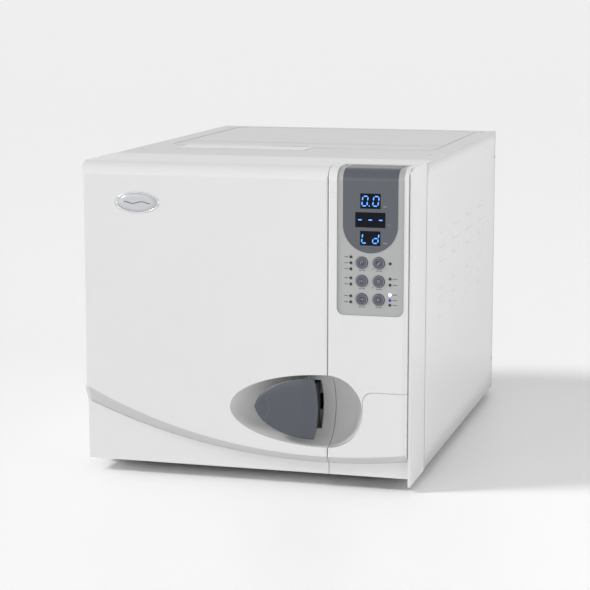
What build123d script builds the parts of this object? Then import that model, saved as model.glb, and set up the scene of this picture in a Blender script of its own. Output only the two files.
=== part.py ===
from build123d import *
import math
import os

os.makedirs("parts", exist_ok=True)

# A 23-litre benchtop autoclave. Millimetres, +X right, +Y back, +Z up. The origin is on the bench,
# under the middle of the whole machine, and the door faces -Y.

# ---------------------------------------------------------------- driving dimensions
WIDTH = 470.0
HEIGHT = 445.0
CABINET_DEPTH = 592.0  # sheet-metal cabinet behind the moulded front
FRONT_DEPTH = 103.0  # door face to the seam with the cabinet
DOOR_THICK = 60.0
HANDLE_PROUD = 2.0
REAR_PROUD = 20.0  # hose stubs on the rear panel
FOOT_HEIGHT = 10.0
SHEET = 1.2
SHELL = 3.0  # wall of the moulded plastic parts
FIT = 0.05  # radial play of a pin in its hole
CLEAR = 0.3  # gap between faces that only come close

HALF_W = WIDTH / 2
SEAM_Y = (HANDLE_PROUD + FRONT_DEPTH - CABINET_DEPTH - REAR_PROUD) / 2
FRONT_Y = SEAM_Y - FRONT_DEPTH
DOOR_BACK_Y = FRONT_Y + DOOR_THICK
BACK_Y = SEAM_Y + CABINET_DEPTH
SIDE_BOTTOM = FOOT_HEIGHT
TRAY_TOP = FOOT_HEIGHT + 2.0
FRONT_BOTTOM = 18.0

# door and control column meet at a vertical gap
GAP_X = 119.5
GAP = 0.8
DOOR_X = (-HALF_W, GAP_X - GAP / 2)
COLUMN_X = (GAP_X + GAP / 2, HALF_W - 3.5)
TOP_KNEE = 427.0  # where the front face starts to turn over the top
TOP_ROUND = 24.0  # depth of that turn

# swoosh step across the foot of door and flap: two arcs given by lowest point and radius
SWOOSH_UPPER = (115.0, 44.8, 772.0)
SWOOSH_LOWER = (111.5, 34.2, 907.0)
SWOOSH_DEPTH_MID = 12.5
SWOOSH_DEPTH_CHANGE = 3.5  # deeper on the left, shallower on the right

# scoop behind the handle: half a long ellipsoid on the left, a quarter ball on the right
BOWL_X = 118.0
BOWL_Z = 108.0
BOWL_R = 51.0
BOWL_LONG = 138.0

# chamber
CHAMBER_X = -58.0
CHAMBER_Z = 240.0
CHAMBER_R = 123.5
CHAMBER_WALL = 2.5
CHAMBER_LENGTH = 450.0
MOUTH_Y = DOOR_BACK_Y + 4.5
VESSEL_R = CHAMBER_R + CHAMBER_WALL
VESSEL_END = MOUTH_Y + CHAMBER_LENGTH
JACKET_R = 152.0

# door hinge and handle pivot
HINGE_X = -HALF_W + 12.0
HINGE_Y = DOOR_BACK_Y - 12.0
HINGE_PIN_R = 4.0
HINGE_BARREL_R = 8.5
HINGE_LEVELS = (100.0, 380.0)
HINGE_LUG = 18.0  # half height of the fixed lug
HINGE_BARREL = 16.0  # height of each door barrel
HANDLE_X = 84.0
HANDLE_Y = FRONT_Y + 31.5
HANDLE_PIN_R = 4.0
HANDLE_Z = 110.0
HANDLE_HALF = 43.3

# control column
KEYPAD_X = (132.0, 225.0)
KEYPAD_BOTTOM = 244.0
KEYPAD_DEEP = 2.0
BAND_X = 178.0
BAND_HALF = 38.0
BAND_BOTTOM = 329.6
WINDOWS = ((178.0, 400.3, 28.0, 20.5), (178.0, 374.8, 41.5, 20.5), (178.0, 349.9, 28.0, 19.7))
BUTTON_COLUMNS = (166.6, 190.0)
BUTTON_ROWS = (316.3, 291.4, 266.4)
BUTTON_R = 8.2
LED_LEFT = (151.3, (323.8, 315.7, 307.5, 295.1, 286.7, 270.5, 262.2))
LED_RIGHT = (205.6, (316.3, 295.5, 287.2, 273.8, 266.4, 259.9))
LED_R = 1.9

# service flap in the foot of the column
FLAP_TOP = 137.5
FLAP_LEFT = 169.0
FLAP_HINGE = (FRONT_Y + 18.0, 27.0)
SERVICE_Y = -306.0

UP = (0, 0, 1)
BACK = (0, 1, 0)
RIGHT = (1, 0, 0)


# ---------------------------------------------------------------- helpers
def block(x, y, z, mode=Mode.ADD):
    """A box between two planes on each axis."""
    with Locations(((x[0] + x[1]) / 2, (y[0] + y[1]) / 2, (z[0] + z[1]) / 2)):
        Box(x[1] - x[0], y[1] - y[0], z[1] - z[0], mode=mode)


def rod(radius, start, length, along, mode=Mode.ADD):
    """A cylinder that starts at a point and runs along a direction."""
    with Locations(Plane(origin=start, z_dir=along)):
        Cylinder(radius, length, align=(Align.CENTER, Align.CENTER, Align.MIN), mode=mode)


def ring(outer, inner, start, length, along, mode=Mode.ADD):
    """A tube that starts at a point and runs along a direction."""
    with BuildSketch(Plane(origin=start, z_dir=along)) as hoop:
        Circle(outer)
        Circle(inner, mode=Mode.SUBTRACT)
    extrude(hoop.sketch, amount=length, mode=mode)


def save(piece, name):
    """Labels a finished piece and writes its file."""
    piece.part.label = name
    export_step(piece.part, f"parts/{name}.step")


def arc_height(arc, x):
    """Height at x of an arc given by lowest point and radius."""
    low_x, low_z, radius = arc
    return low_z + radius - math.sqrt(radius**2 - (x - low_x) ** 2)


def swoosh_body(inset):
    """What the step across the foot of the front takes away, moved into the wall by the inset."""
    reach = 6.0
    with BuildPart() as cutter:
        for x in (-240.0, -145.0, -50.0, 45.0, 140.0, 240.0):
            deep = SWOOSH_DEPTH_MID - SWOOSH_DEPTH_CHANGE * x / HALF_W
            high = arc_height(SWOOSH_UPPER, x)
            low = arc_height(SWOOSH_LOWER, x)
            lift = inset / 2
            front = FRONT_Y - reach + inset
            with BuildSketch(Plane.YZ.offset(x)):
                with BuildLine():
                    Polyline(
                        (front, high + lift + reach * (high - low) / deep),
                        (FRONT_Y + deep + inset, low + lift),
                        (FRONT_Y + deep + inset, -20),
                        (front, -20),
                        close=True,
                    )
                make_face()
        loft()
    return cutter.part


def bowl_body(grow):
    """The scoop for the hand, grown outward by a wall thickness."""
    with BuildPart() as bowl:
        with BuildSketch(Plane.XY.offset(BOWL_Z)):
            with BuildLine():
                EllipticalCenterArc(
                    (BOWL_X, FRONT_Y), BOWL_LONG + grow, BOWL_R + grow, start_angle=90, arc_size=90
                )
                CenterArc((BOWL_X, FRONT_Y), BOWL_R + grow, start_angle=0, arc_size=90)
                Line((BOWL_X - BOWL_LONG - grow, FRONT_Y), (BOWL_X + BOWL_R + grow, FRONT_Y))
            make_face()
        revolve(axis=Axis((0, FRONT_Y, BOWL_Z), RIGHT))
    return bowl.part


def front_body(x_range, radii, inset, back=DOOR_BACK_Y):
    """The outer body of the moulded front between two x planes: flat face, turned-over top, rounded
    plan corners (front right, back right, back left, front left) and the step across its foot."""
    x0, x1 = x_range[0] + inset, x_range[1] - inset
    front, top, low = FRONT_Y + inset, HEIGHT - inset, FRONT_BOTTOM + inset
    high = HEIGHT - TOP_KNEE - inset
    with BuildPart() as body:
        with BuildSketch(Plane.YZ.offset(x0)):
            with BuildLine():
                Polyline(
                    (FRONT_Y + TOP_ROUND, top), (back, top), (back, low), (front, low), (front, TOP_KNEE)
                )
                EllipticalCenterArc(
                    (FRONT_Y + TOP_ROUND, TOP_KNEE), TOP_ROUND - inset, high, start_angle=90, arc_size=90
                )
            make_face()
        extrude(amount=x1 - x0)
        with BuildSketch() as plan:
            with BuildLine():
                FilletPolyline(
                    (x1, front),
                    (x1, back),
                    (x0, back),
                    (x0, front),
                    radius=[max(r - inset, 0.6) for r in radii],
                    close=True,
                )
            make_face()
        extrude(plan.sketch, amount=2 * HEIGHT, mode=Mode.INTERSECT)
    return body.part


def keypad_outline(grow):
    """Prism over the recessed keypad field, open at the top, grown by a margin."""
    x0, x1, low = KEYPAD_X[0] - grow, KEYPAD_X[1] + grow, KEYPAD_BOTTOM - grow
    with BuildPart() as prism:
        with BuildSketch(Plane.XZ.offset(-FRONT_Y + 5)):
            with BuildLine():
                FilletPolyline(
                    (x0, HEIGHT + 5),
                    (x0, low),
                    (x1, low),
                    (x1, HEIGHT + 5),
                    radius=[0.5, 10, 10, 0.5],
                    close=True,
                )
            make_face()
        extrude(amount=-62)
    return prism.part


def band_outline(grow):
    """Prism over the display band: straight sides and a round foot."""
    half = BAND_HALF + grow
    with BuildPart() as prism:
        with BuildSketch(Plane.XZ.offset(-FRONT_Y + 5)):
            with Locations((BAND_X, BAND_BOTTOM + BAND_HALF)):
                Circle(half)
            with Locations((BAND_X, BAND_BOTTOM + BAND_HALF + 60)):
                Rectangle(2 * half, 120)
        extrude(amount=-62)
    return prism.part


def flap_outline(grow, deep):
    """Prism over the service flap: it follows the scoop's rim, rises and turns to the right."""
    radius = BOWL_R - grow
    side = FLAP_LEFT - grow
    turn = 14.0
    top = FLAP_TOP + grow
    far = HALF_W + 5
    foot = (GAP_X - 5, BOWL_Z - radius)
    start = (BOWL_X, BOWL_Z - radius)
    with BuildPart() as prism:
        with BuildSketch(Plane.XZ.offset(-FRONT_Y + 5)):
            with BuildLine():
                Polyline(start, foot, (GAP_X - 5, 0), (far, 0), (far, top), (side + turn, top))
                ThreePointArc(
                    (side + turn, top),
                    (side + turn * (1 - math.sqrt(0.5)), top - turn * (1 - math.sqrt(0.5))),
                    (side, top - turn),
                )
                rim = (side, BOWL_Z)
                Line((side, top - turn), rim)
                RadiusArc(rim, start, radius)
            make_face()
        extrude(amount=-deep - 5)
    return prism.part


# ---------------------------------------------------------------- cabinet
TRAY_Y = (SEAM_Y + 4.0, BACK_Y - 1.5)
with BuildPart() as base_tray:
    inner = HALF_W - SHEET - CLEAR
    block((-inner, inner), TRAY_Y, (FOOT_HEIGHT, TRAY_TOP))
    for side in (-1, 1):
        edge = sorted((side * inner, side * (inner - 1.5)))
        block(edge, TRAY_Y, (FOOT_HEIGHT, FOOT_HEIGHT + 22))
    with Locations((130, 60, FOOT_HEIGHT)):
        with GridLocations(18, 14, 5, 9):
            Cylinder(4, 10, mode=Mode.SUBTRACT)
    with Locations((-160, 60, FOOT_HEIGHT)):
        with GridLocations(18, 14, 4, 9):
            Cylinder(4, 10, mode=Mode.SUBTRACT)
save(base_tray, "base_tray")

with BuildPart() as feet:
    with Locations((0, (TRAY_Y[0] + TRAY_Y[1]) / 2, 0)):
        with GridLocations(380, 500, 2, 2):
            Cone(13, 15, FOOT_HEIGHT, align=(Align.CENTER, Align.CENTER, Align.MIN))
save(feet, "feet")

FRAME_Y = (SEAM_Y + 0.4, SEAM_Y + 3.4)
with BuildPart() as front_frame:
    inner = HALF_W - SHEET - CLEAR
    block((-inner, inner), FRAME_Y, (TRAY_TOP, HEIGHT - 3.4))
    rod(VESSEL_R + 2, (CHAMBER_X, FRAME_Y[0] - 1, CHAMBER_Z), 6, BACK, mode=Mode.SUBTRACT)
    block((134, 224), (FRAME_Y[0] - 1, FRAME_Y[1] + 1), (180, 420), mode=Mode.SUBTRACT)
    block((134, 224), (FRAME_Y[0] - 1, FRAME_Y[1] + 1), (34, 120), mode=Mode.SUBTRACT)
save(front_frame, "front_frame")

# plastic surround between door and cabinet, with the right cheek that reaches forward to the face
BEZEL_Y = (DOOR_BACK_Y + CLEAR, SEAM_Y)
BEZEL_MOUTH_R = 150.0
LIP_BACK = SEAM_Y + 30.0
CHEEK_X = HALF_W - SHELL
LATCH_WINDOW = ((48.0, 112.0), (88.0, 128.0))
with BuildPart() as front_bezel:
    with BuildSketch(Plane.XZ.offset(-BEZEL_Y[0])):
        with Locations((0, (HEIGHT + SIDE_BOTTOM) / 2)):
            Rectangle(WIDTH, HEIGHT - SIDE_BOTTOM)
            Rectangle(WIDTH - 2 * SHELL, HEIGHT - SIDE_BOTTOM - 2 * SHELL, mode=Mode.SUBTRACT)
    extrude(amount=BEZEL_Y[0] - BEZEL_Y[1])
    block((-HALF_W, HALF_W), (BEZEL_Y[0], BEZEL_Y[0] + SHELL), (SIDE_BOTTOM, HEIGHT))
    block((-HALF_W, HALF_W), (SEAM_Y - 5, LIP_BACK), (HEIGHT - 1.8, HEIGHT))
    block((CHEEK_X, HALF_W), (FRONT_Y + 3.5, SEAM_Y), (SIDE_BOTTOM - 2, HEIGHT - 4))
    with BuildSketch(Plane.YZ.offset(CHEEK_X)):
        with BuildLine():
            top_front = FRONT_Y + TOP_ROUND
            Line((top_front, HEIGHT), (SEAM_Y - 5, HEIGHT))
            Line((SEAM_Y - 5, HEIGHT), (SEAM_Y - 5, TOP_KNEE))
            Line((SEAM_Y - 5, TOP_KNEE), (FRONT_Y + 3.5, TOP_KNEE))
            EllipticalCenterArc(
                (top_front, TOP_KNEE), TOP_ROUND - 3.5, HEIGHT - TOP_KNEE, start_angle=90, arc_size=90
            )
        make_face()
    extrude(amount=SHELL)
    # relief that the door's left edge turns into
    with BuildSketch(Plane.XY):
        with BuildLine():
            Polyline(
                (-HALF_W - 1, BEZEL_Y[0] - 1),
                (-HALF_W + 18, BEZEL_Y[0] - 1),
                (-HALF_W + 17, BEZEL_Y[0]),
                (-HALF_W - 1, BEZEL_Y[0] + 6),
                close=True,
            )
        make_face()
    extrude(amount=HEIGHT, mode=Mode.SUBTRACT)
    block((-HALF_W, -HALF_W + 24), (BEZEL_Y[0] + 6.2, BEZEL_Y[0] + 9.2), (SIDE_BOTTOM, HEIGHT))
    rod(BEZEL_MOUTH_R, (CHAMBER_X, BEZEL_Y[0] - 1, CHAMBER_Z), 12, BACK, mode=Mode.SUBTRACT)
    for level in HINGE_LEVELS:
        block(
            (-HALF_W + 1.5, HINGE_X + HINGE_BARREL_R + 1.5),
            (BEZEL_Y[0] - 1, BEZEL_Y[0] + 12),
            (level - HINGE_LUG - 1, level + HINGE_LUG + 1),
            mode=Mode.SUBTRACT,
        )
    block(LATCH_WINDOW[0], (BEZEL_Y[0] - 1, BEZEL_Y[0] + 5), LATCH_WINDOW[1], mode=Mode.SUBTRACT)
    block((136, 222), (BEZEL_Y[0] - 1, BEZEL_Y[0] + 5), (180, 420), mode=Mode.SUBTRACT)
    block((136, 222), (BEZEL_Y[0] - 1, BEZEL_Y[0] + 5), (36, 118), mode=Mode.SUBTRACT)
save(front_bezel, "front_bezel")

# louvres: two groups of three rows, in four columns
LOUVRE_LENGTH = 55.0
LOUVRE_ENDS = (152.0, 260.0, 373.0, 485.0)  # back end of each column, from the seam
LOUVRE_TOPS = (345.0, 324.0, 303.0, 264.0, 243.0, 222.0)
LOUVRE_HIGH = 11.0
LOUVRE_PROUD = 2.0


def side_panel(side):
    """One side sheet with folded top edge and louvres pressed outward, right-hand when side is 1."""
    out = HALF_W
    with BuildPart() as panel:
        block((out - SHEET, out), (SEAM_Y + CLEAR, BACK_Y), (SIDE_BOTTOM, HEIGHT - 2.0))
        block((out - 14, out), (SEAM_Y + CLEAR, BACK_Y - 2), (HEIGHT - 3.0, HEIGHT - 2.0))
        for end in LOUVRE_ENDS:
            start = SEAM_Y + end - LOUVRE_LENGTH
            for top in LOUVRE_TOPS:
                with BuildSketch(Plane.XZ.offset(-start)) as hood:
                    with BuildLine():
                        Polyline(
                            (out - SHEET, top),
                            (out, top),
                            (out + LOUVRE_PROUD, top - LOUVRE_HIGH + 3),
                            (out + LOUVRE_PROUD, top - LOUVRE_HIGH),
                            (out + LOUVRE_PROUD - SHEET, top - LOUVRE_HIGH),
                            (out - SHEET, top - 4),
                            close=True,
                        )
                    make_face()
                extrude(hood.sketch, amount=-LOUVRE_LENGTH)
                block(
                    (out - SHEET - 1, out + LOUVRE_PROUD - SHEET),
                    (start + 1, start + LOUVRE_LENGTH - 1),
                    (top - LOUVRE_HIGH, top - LOUVRE_HIGH + 2.2),
                    mode=Mode.SUBTRACT,
                )
    piece = panel.part
    return piece if side > 0 else piece.mirror(Plane.YZ)


with BuildPart() as side_panel_right:
    add(side_panel(1))
save(side_panel_right, "side_panel_right")

with BuildPart() as side_panel_left:
    add(side_panel(-1))
save(side_panel_left, "side_panel_left")

# top cover: a flat sheet with a raised outline and the opening over the tank filler
LID_X = (-176.0, 22.0)
LID_Y = (SEAM_Y + 142.0, SEAM_Y + 206.0)
COVER_Z = (HEIGHT - 2.0, HEIGHT - 0.8)
with BuildPart() as top_cover:
    block((-HALF_W, HALF_W), (LIP_BACK + CLEAR, BACK_Y), COVER_Z)
    with BuildSketch(Plane.XY.offset(COVER_Z[1])):
        with Locations((0, SEAM_Y + 380)):
            RectangleRounded(414, 386, 24)
            RectangleRounded(406, 378, 20, mode=Mode.SUBTRACT)
        with Locations((0, SEAM_Y + 274)):
            Rectangle(410, 3)
        with Locations((-18, SEAM_Y + 206), (-18, SEAM_Y + 199)):
            Rectangle(60, 2.5)
    extrude(amount=0.8)
    block(LID_X, LID_Y, (COVER_Z[0] - 1, HEIGHT + 1), mode=Mode.SUBTRACT)
save(top_cover, "top_cover")

with BuildPart() as tank_lid:
    gap = 0.6
    block(
        (LID_X[0] + gap, LID_X[1] - gap), (LID_Y[0] + gap, LID_Y[1] - 4.0), (COVER_Z[0] + 0.4, HEIGHT - 0.2)
    )
    with Locations(((LID_X[0] + LID_X[1]) / 2, LID_Y[0] + 10, HEIGHT - 0.2)):
        Box(60, 8, 1.2, mode=Mode.SUBTRACT)
save(tank_lid, "tank_lid")

REAR_Y = (BACK_Y - 1.2, BACK_Y)
FAN = (150.0, 270.0)
INLET = (150.0, 70.0)
FUSES = (190.0, 210.0)
STUBS = ((-170.0, 60.0), (-140.0, 60.0), (-110.0, 60.0))
with BuildPart() as rear_panel:
    inner = HALF_W - SHEET - CLEAR
    block((-inner, inner), REAR_Y, (TRAY_TOP + 0.2, HEIGHT - 3.4))
    for radius in (14.0, 23.0, 32.0, 41.0):
        ring(radius, radius - 7.0, (FAN[0], REAR_Y[0] - 1, FAN[1]), 4, BACK, mode=Mode.SUBTRACT)
    with Locations(Plane(origin=(FAN[0], (REAR_Y[0] + REAR_Y[1]) / 2, FAN[1]), z_dir=BACK)):
        with PolarLocations(24, 4, start_angle=45):
            Box(40, 3, SHEET)
    block(
        (INLET[0] - 14.2, INLET[0] + 14.2),
        (REAR_Y[0] - 1, REAR_Y[1] + 1),
        (INLET[1] - 10.4, INLET[1] + 10.4),
        mode=Mode.SUBTRACT,
    )
    for x in FUSES:
        rod(6.1, (x, REAR_Y[0] - 1, INLET[1]), 4, BACK, mode=Mode.SUBTRACT)
    for x, z in STUBS:
        rod(7.1, (x, REAR_Y[0] - 1, z), 4, BACK, mode=Mode.SUBTRACT)
    # nine level slots that let the warm air out
    for row in range(9):
        low = 240 + 14 * row
        block((-180, -60), (REAR_Y[0] - 1, REAR_Y[1] + 1), (low, low + 4), mode=Mode.SUBTRACT)
save(rear_panel, "rear_panel")

# ---------------------------------------------------------------- control column
COLUMN_RADII = (8.0, 1.0, 1.0, 2.5)
COLUMN_BACK = DOOR_BACK_Y + CLEAR
OVERLAY_THICK = 0.8
BAND_THICK = 0.4
KEYPAD_FLOOR = KEYPAD_DEEP + OVERLAY_THICK
KEYPAD_BACK = KEYPAD_FLOOR + SHELL
BOARD_Y = (FRONT_Y + 12.0, FRONT_Y + 13.6)


def column_body(inset, back=COLUMN_BACK + 1):
    """The column's outer body shrunk by the inset, running on past its open back."""
    return front_body(COLUMN_X, COLUMN_RADII, inset, back)


column_outer = column_body(0, COLUMN_BACK)
keypad_floor_body = column_body(KEYPAD_FLOOR)
keypad_face_body = column_body(KEYPAD_DEEP)
bowl_hole = bowl_body(0)
bowl_wall = bowl_body(SHELL)
swoosh_outer = swoosh_body(0)
swoosh_inner = swoosh_body(SHELL)

with BuildPart() as keypad_wall:
    add(keypad_outline(SHELL))
    add(column_body(KEYPAD_BACK), mode=Mode.SUBTRACT)

with BuildPart() as column_cavity:
    add(column_body(SHELL))
    add(swoosh_inner, mode=Mode.SUBTRACT)
    add(bowl_wall, mode=Mode.SUBTRACT)
    add(keypad_wall.part, mode=Mode.SUBTRACT)

with BuildPart() as keypad_recess:
    add(keypad_outline(0))
    add(keypad_floor_body, mode=Mode.SUBTRACT)

with BuildPart() as column_shell:
    add(column_outer)
    add(swoosh_outer, mode=Mode.SUBTRACT)
    add(bowl_hole, mode=Mode.SUBTRACT)
    add(column_cavity.part, mode=Mode.SUBTRACT)


def keypad_holes(button_r, led_r, window_gap):
    """Cuts the openings of buttons, lights and displays through the front of the open part."""
    depth = 12.0
    for x in BUTTON_COLUMNS:
        for z in BUTTON_ROWS:
            rod(button_r, (x, FRONT_Y - 2, z), depth, BACK, mode=Mode.SUBTRACT)
    for x, levels in (LED_LEFT, LED_RIGHT):
        for z in levels:
            rod(led_r, (x, FRONT_Y - 2, z), depth, BACK, mode=Mode.SUBTRACT)
    for x, z, wide, high in WINDOWS:
        w, h = wide / 2 + window_gap, high / 2 + window_gap
        block((x - w, x + w), (FRONT_Y - 2, FRONT_Y + depth), (z - h, z + h), mode=Mode.SUBTRACT)


with BuildPart() as control_fascia:
    add(column_shell.part)
    add(keypad_recess.part, mode=Mode.SUBTRACT)
    add(flap_outline(0.5, 32.0), mode=Mode.SUBTRACT)
    keypad_holes(BUTTON_R + 0.4, LED_R + 0.15, 0.2)
save(control_fascia, "control_fascia")

with BuildPart() as keypad_overlay:
    add(keypad_outline(-0.2))
    add(keypad_face_body, mode=Mode.INTERSECT)
    add(keypad_floor_body, mode=Mode.SUBTRACT)
    keypad_holes(BUTTON_R + 0.4, LED_R + 0.15, 0.0)
save(keypad_overlay, "keypad_overlay")

with BuildPart() as display_band:
    add(band_outline(0))
    add(keypad_outline(-0.2), mode=Mode.INTERSECT)
    add(column_body(KEYPAD_DEEP - BAND_THICK), mode=Mode.INTERSECT)
    add(keypad_face_body, mode=Mode.SUBTRACT)
    for x, z, wide, high in WINDOWS:
        block(
            (x - wide / 2, x + wide / 2),
            (FRONT_Y - 2, FRONT_Y + 12),
            (z - high / 2, z + high / 2),
            mode=Mode.SUBTRACT,
        )
save(display_band, "display_band")

with BuildPart() as display_windows:
    for x, z, wide, high in WINDOWS:
        block(
            (x - wide / 2, x + wide / 2),
            (FRONT_Y + 1.4, FRONT_Y + KEYPAD_FLOOR),
            (z - high / 2, z + high / 2),
        )
save(display_windows, "display_windows")

with BuildPart() as status_leds:
    for x, levels in (LED_LEFT, LED_RIGHT):
        for z in levels:
            rod(LED_R, (x, FRONT_Y + KEYPAD_DEEP - 0.5, z), BOARD_Y[0] - FRONT_Y - KEYPAD_DEEP + 0.5, BACK)
save(status_leds, "status_leds")

with BuildPart() as control_board:
    block((137, 220), BOARD_Y, (250, 424))
    for x, z, wide, high in WINDOWS:
        block(
            (x - wide / 2, x + wide / 2),
            (FRONT_Y + KEYPAD_FLOOR, BOARD_Y[0]),
            (z - high / 2, z + high / 2),
        )
    for x in BUTTON_COLUMNS:
        for z in BUTTON_ROWS:
            block((x - 3, x + 3), (BOARD_Y[0] - 2.1, BOARD_Y[0]), (z - 3, z + 3))
    for x, z in ((141, 254), (216, 254), (141, 420), (216, 420)):
        rod(2.5, (x, FRONT_Y + KEYPAD_BACK, z), BOARD_Y[0] - FRONT_Y - KEYPAD_BACK, BACK)
    block((150, 190), (BOARD_Y[1], BOARD_Y[1] + 6), (380, 392))
    block((160, 176), (BOARD_Y[1], BOARD_Y[1] + 3), (330, 346))
    block((190, 210), (BOARD_Y[1], BOARD_Y[1] + 9), (270, 290))
save(control_board, "control_board")

BUTTON_NAMES = (
    ("button_select", "button_pack_plus"),
    ("button_program", "button_dry_minus"),
    ("button_test", "button_start"),
)
for row, z in enumerate(BUTTON_ROWS):
    for column, x in enumerate(BUTTON_COLUMNS):
        with BuildPart() as cap:
            rod(BUTTON_R, (x, FRONT_Y + 0.6, z), KEYPAD_BACK + 0.2, BACK)
            rod(BUTTON_R + 1.2, (x, FRONT_Y + KEYPAD_BACK + CLEAR, z), 1.0, BACK)
            rod(2.5, (x, FRONT_Y + KEYPAD_BACK, z), BOARD_Y[0] - FRONT_Y - KEYPAD_BACK - 3.1, BACK)
            chamfer(cap.faces().sort_by(Axis.Y)[0].edges(), 0.5)
        save(cap, BUTTON_NAMES[row][column])

# ---------------------------------------------------------------- service bay behind the flap
FLAP_LUG_R = 4.5
FLAP_ARMS = ((123.3, 125.7), (225.8, 228.2))
FLAP_KNUCKLES = ((126.0, 134.0), (217.5, 225.5))
with BuildPart() as service_flap:
    add(column_shell.part)
    add(flap_outline(0, 13.0), mode=Mode.INTERSECT)
    for knuckle in FLAP_KNUCKLES:
        rod(FLAP_LUG_R - 0.6, (knuckle[0], *FLAP_HINGE), knuckle[1] - knuckle[0], RIGHT)
        block(knuckle, (FRONT_Y + 11.0, FLAP_HINGE[0]), (FLAP_HINGE[1] - 3.5, FLAP_HINGE[1] + 3.5))
        rod(2.0 + FIT, (knuckle[0] - 1, *FLAP_HINGE), knuckle[1] - knuckle[0] + 2, RIGHT, mode=Mode.SUBTRACT)
save(service_flap, "service_flap")

FILTER = (201.0, 98.0)
DRAINS = ((140.0, 42.0), (166.0, 42.0))
ROCKER_X = 204.0
ROCKER_Z = 50.0
with BuildPart() as service_panel:
    block((123.3, 228.2), (SERVICE_Y, SERVICE_Y + 2.5), (22, 132))
    for arm in FLAP_ARMS:
        block(arm, (FLAP_HINGE[0], SERVICE_Y), (FLAP_HINGE[1] - FLAP_LUG_R, FLAP_HINGE[1] + FLAP_LUG_R))
        rod(FLAP_LUG_R, (arm[0], *FLAP_HINGE), arm[1] - arm[0], RIGHT)
    # pins that the flap's knuckles turn on
    rod(2.0, (FLAP_ARMS[0][0], *FLAP_HINGE), FLAP_KNUCKLES[0][1] - FLAP_ARMS[0][0], RIGHT)
    rod(2.0, (FLAP_KNUCKLES[1][0], *FLAP_HINGE), FLAP_ARMS[1][1] - FLAP_KNUCKLES[1][0], RIGHT)
    block((123.3, 228.2), (SERVICE_Y + 2.5, COLUMN_BACK), (22, 25))
    block((173.5, 228.2), (SERVICE_Y + 2.5, COLUMN_BACK), (129, 132))
    rod(BOWL_R + SHELL + 1.5, (BOWL_X, SERVICE_Y - 1, BOWL_Z), 4.5, BACK, mode=Mode.SUBTRACT)
    rod(12.1, (FILTER[0], SERVICE_Y - 1, FILTER[1]), 5, BACK, mode=Mode.SUBTRACT)
    for x, z in DRAINS:
        rod(6.1, (x, SERVICE_Y - 1, z), 5, BACK, mode=Mode.SUBTRACT)
    # sunk frame that the power rocker turns in
    for half_x, half_z, start, end in ((13, 16, -2, 0), (11, 14, 0, 9)):
        block(
            (ROCKER_X - half_x, ROCKER_X + half_x),
            (SERVICE_Y + start, SERVICE_Y + end),
            (ROCKER_Z - half_z, ROCKER_Z + half_z),
        )
    block(
        (ROCKER_X - 9.5, ROCKER_X + 9.5),
        (SERVICE_Y - 3, SERVICE_Y + 7),
        (ROCKER_Z - 12.5, ROCKER_Z + 12.5),
        mode=Mode.SUBTRACT,
    )
save(service_panel, "service_panel")

with BuildPart() as air_filter:
    rod(23.0, (FILTER[0], SERVICE_Y - 30, FILTER[1]), 28, BACK)
    rod(17.0, (FILTER[0], SERVICE_Y - 35, FILTER[1]), 5, BACK)
    rod(12.0, (FILTER[0], SERVICE_Y - 2, FILTER[1]), 10, BACK)
    with Locations(Plane(origin=(FILTER[0], SERVICE_Y - 16, FILTER[1]), z_dir=BACK)):
        with PolarLocations(23.0, 24):
            Cylinder(1.0, 24, mode=Mode.SUBTRACT)
save(air_filter, "air_filter")

with BuildPart() as hose_ports:
    for x, z in DRAINS:
        rod(3.5, (x, SERVICE_Y - 28, z), 9, BACK)
        rod(4.0, (x, SERVICE_Y - 19.4, z), 27.4, BACK)
        rod(6.0, (x, SERVICE_Y, z), 8, BACK)
        rod(8.5, (x, SERVICE_Y - 5, z), 5, BACK)
        rod(2.5, (x, SERVICE_Y - 29, z), 38, BACK, mode=Mode.SUBTRACT)
    # overflow, exhaust and feed stubs on the rear panel
    for x, z in STUBS:
        rod(4.0, (x, BACK_Y - 20, z), 20 + REAR_PROUD, BACK)
        rod(7.0, (x, BACK_Y - 8, z), 8, BACK)
        with BuildSketch(Plane(origin=(x, BACK_Y, z), z_dir=BACK)):
            RegularPolygon(10, 6)
        extrude(amount=5)
        rod(2.6, (x, BACK_Y - 21, z), 22 + REAR_PROUD, BACK, mode=Mode.SUBTRACT)
save(hose_ports, "hose_ports")

for (x, z), name in zip(DRAINS, ("drain_knob_clean", "drain_knob_waste")):
    with BuildPart() as knob:
        rod(9.0, (x, SERVICE_Y - 19, z), 13.5, BACK)
        with Locations(Plane(origin=(x, SERVICE_Y - 12, z), z_dir=BACK)):
            with PolarLocations(9.4, 12):
                Cylinder(1.1, 20, mode=Mode.SUBTRACT)
        block((x - 1.5, x + 1.5), (SERVICE_Y - 17, SERVICE_Y - 8), (z + 8, z + 12))
        rod(4.0 + FIT, (x, SERVICE_Y - 20, z), 16, BACK, mode=Mode.SUBTRACT)
    save(knob, name)

ROCKER_PIVOT_Y = SERVICE_Y + 2.0
with BuildPart() as power_rocker:
    tilt = 10.0
    with BuildSketch(Plane.YZ.offset(ROCKER_X - 9.0)):
        with BuildLine():
            FilletPolyline(
                (ROCKER_PIVOT_Y - 5.5, ROCKER_Z - 11),
                (ROCKER_PIVOT_Y - 3.5, ROCKER_Z),
                (ROCKER_PIVOT_Y - 5.5, ROCKER_Z + 11),
                (ROCKER_PIVOT_Y + 1.0, ROCKER_Z + 11),
                (ROCKER_PIVOT_Y + 3.5, ROCKER_Z),
                (ROCKER_PIVOT_Y + 1.0, ROCKER_Z - 11),
                radius=0.8,
                close=True,
            )
        make_face()
    extrude(amount=18)
power_rocker.part = power_rocker.part.rotate(Axis((0, ROCKER_PIVOT_Y, ROCKER_Z), RIGHT), -tilt)
save(power_rocker, "power_rocker")

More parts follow.
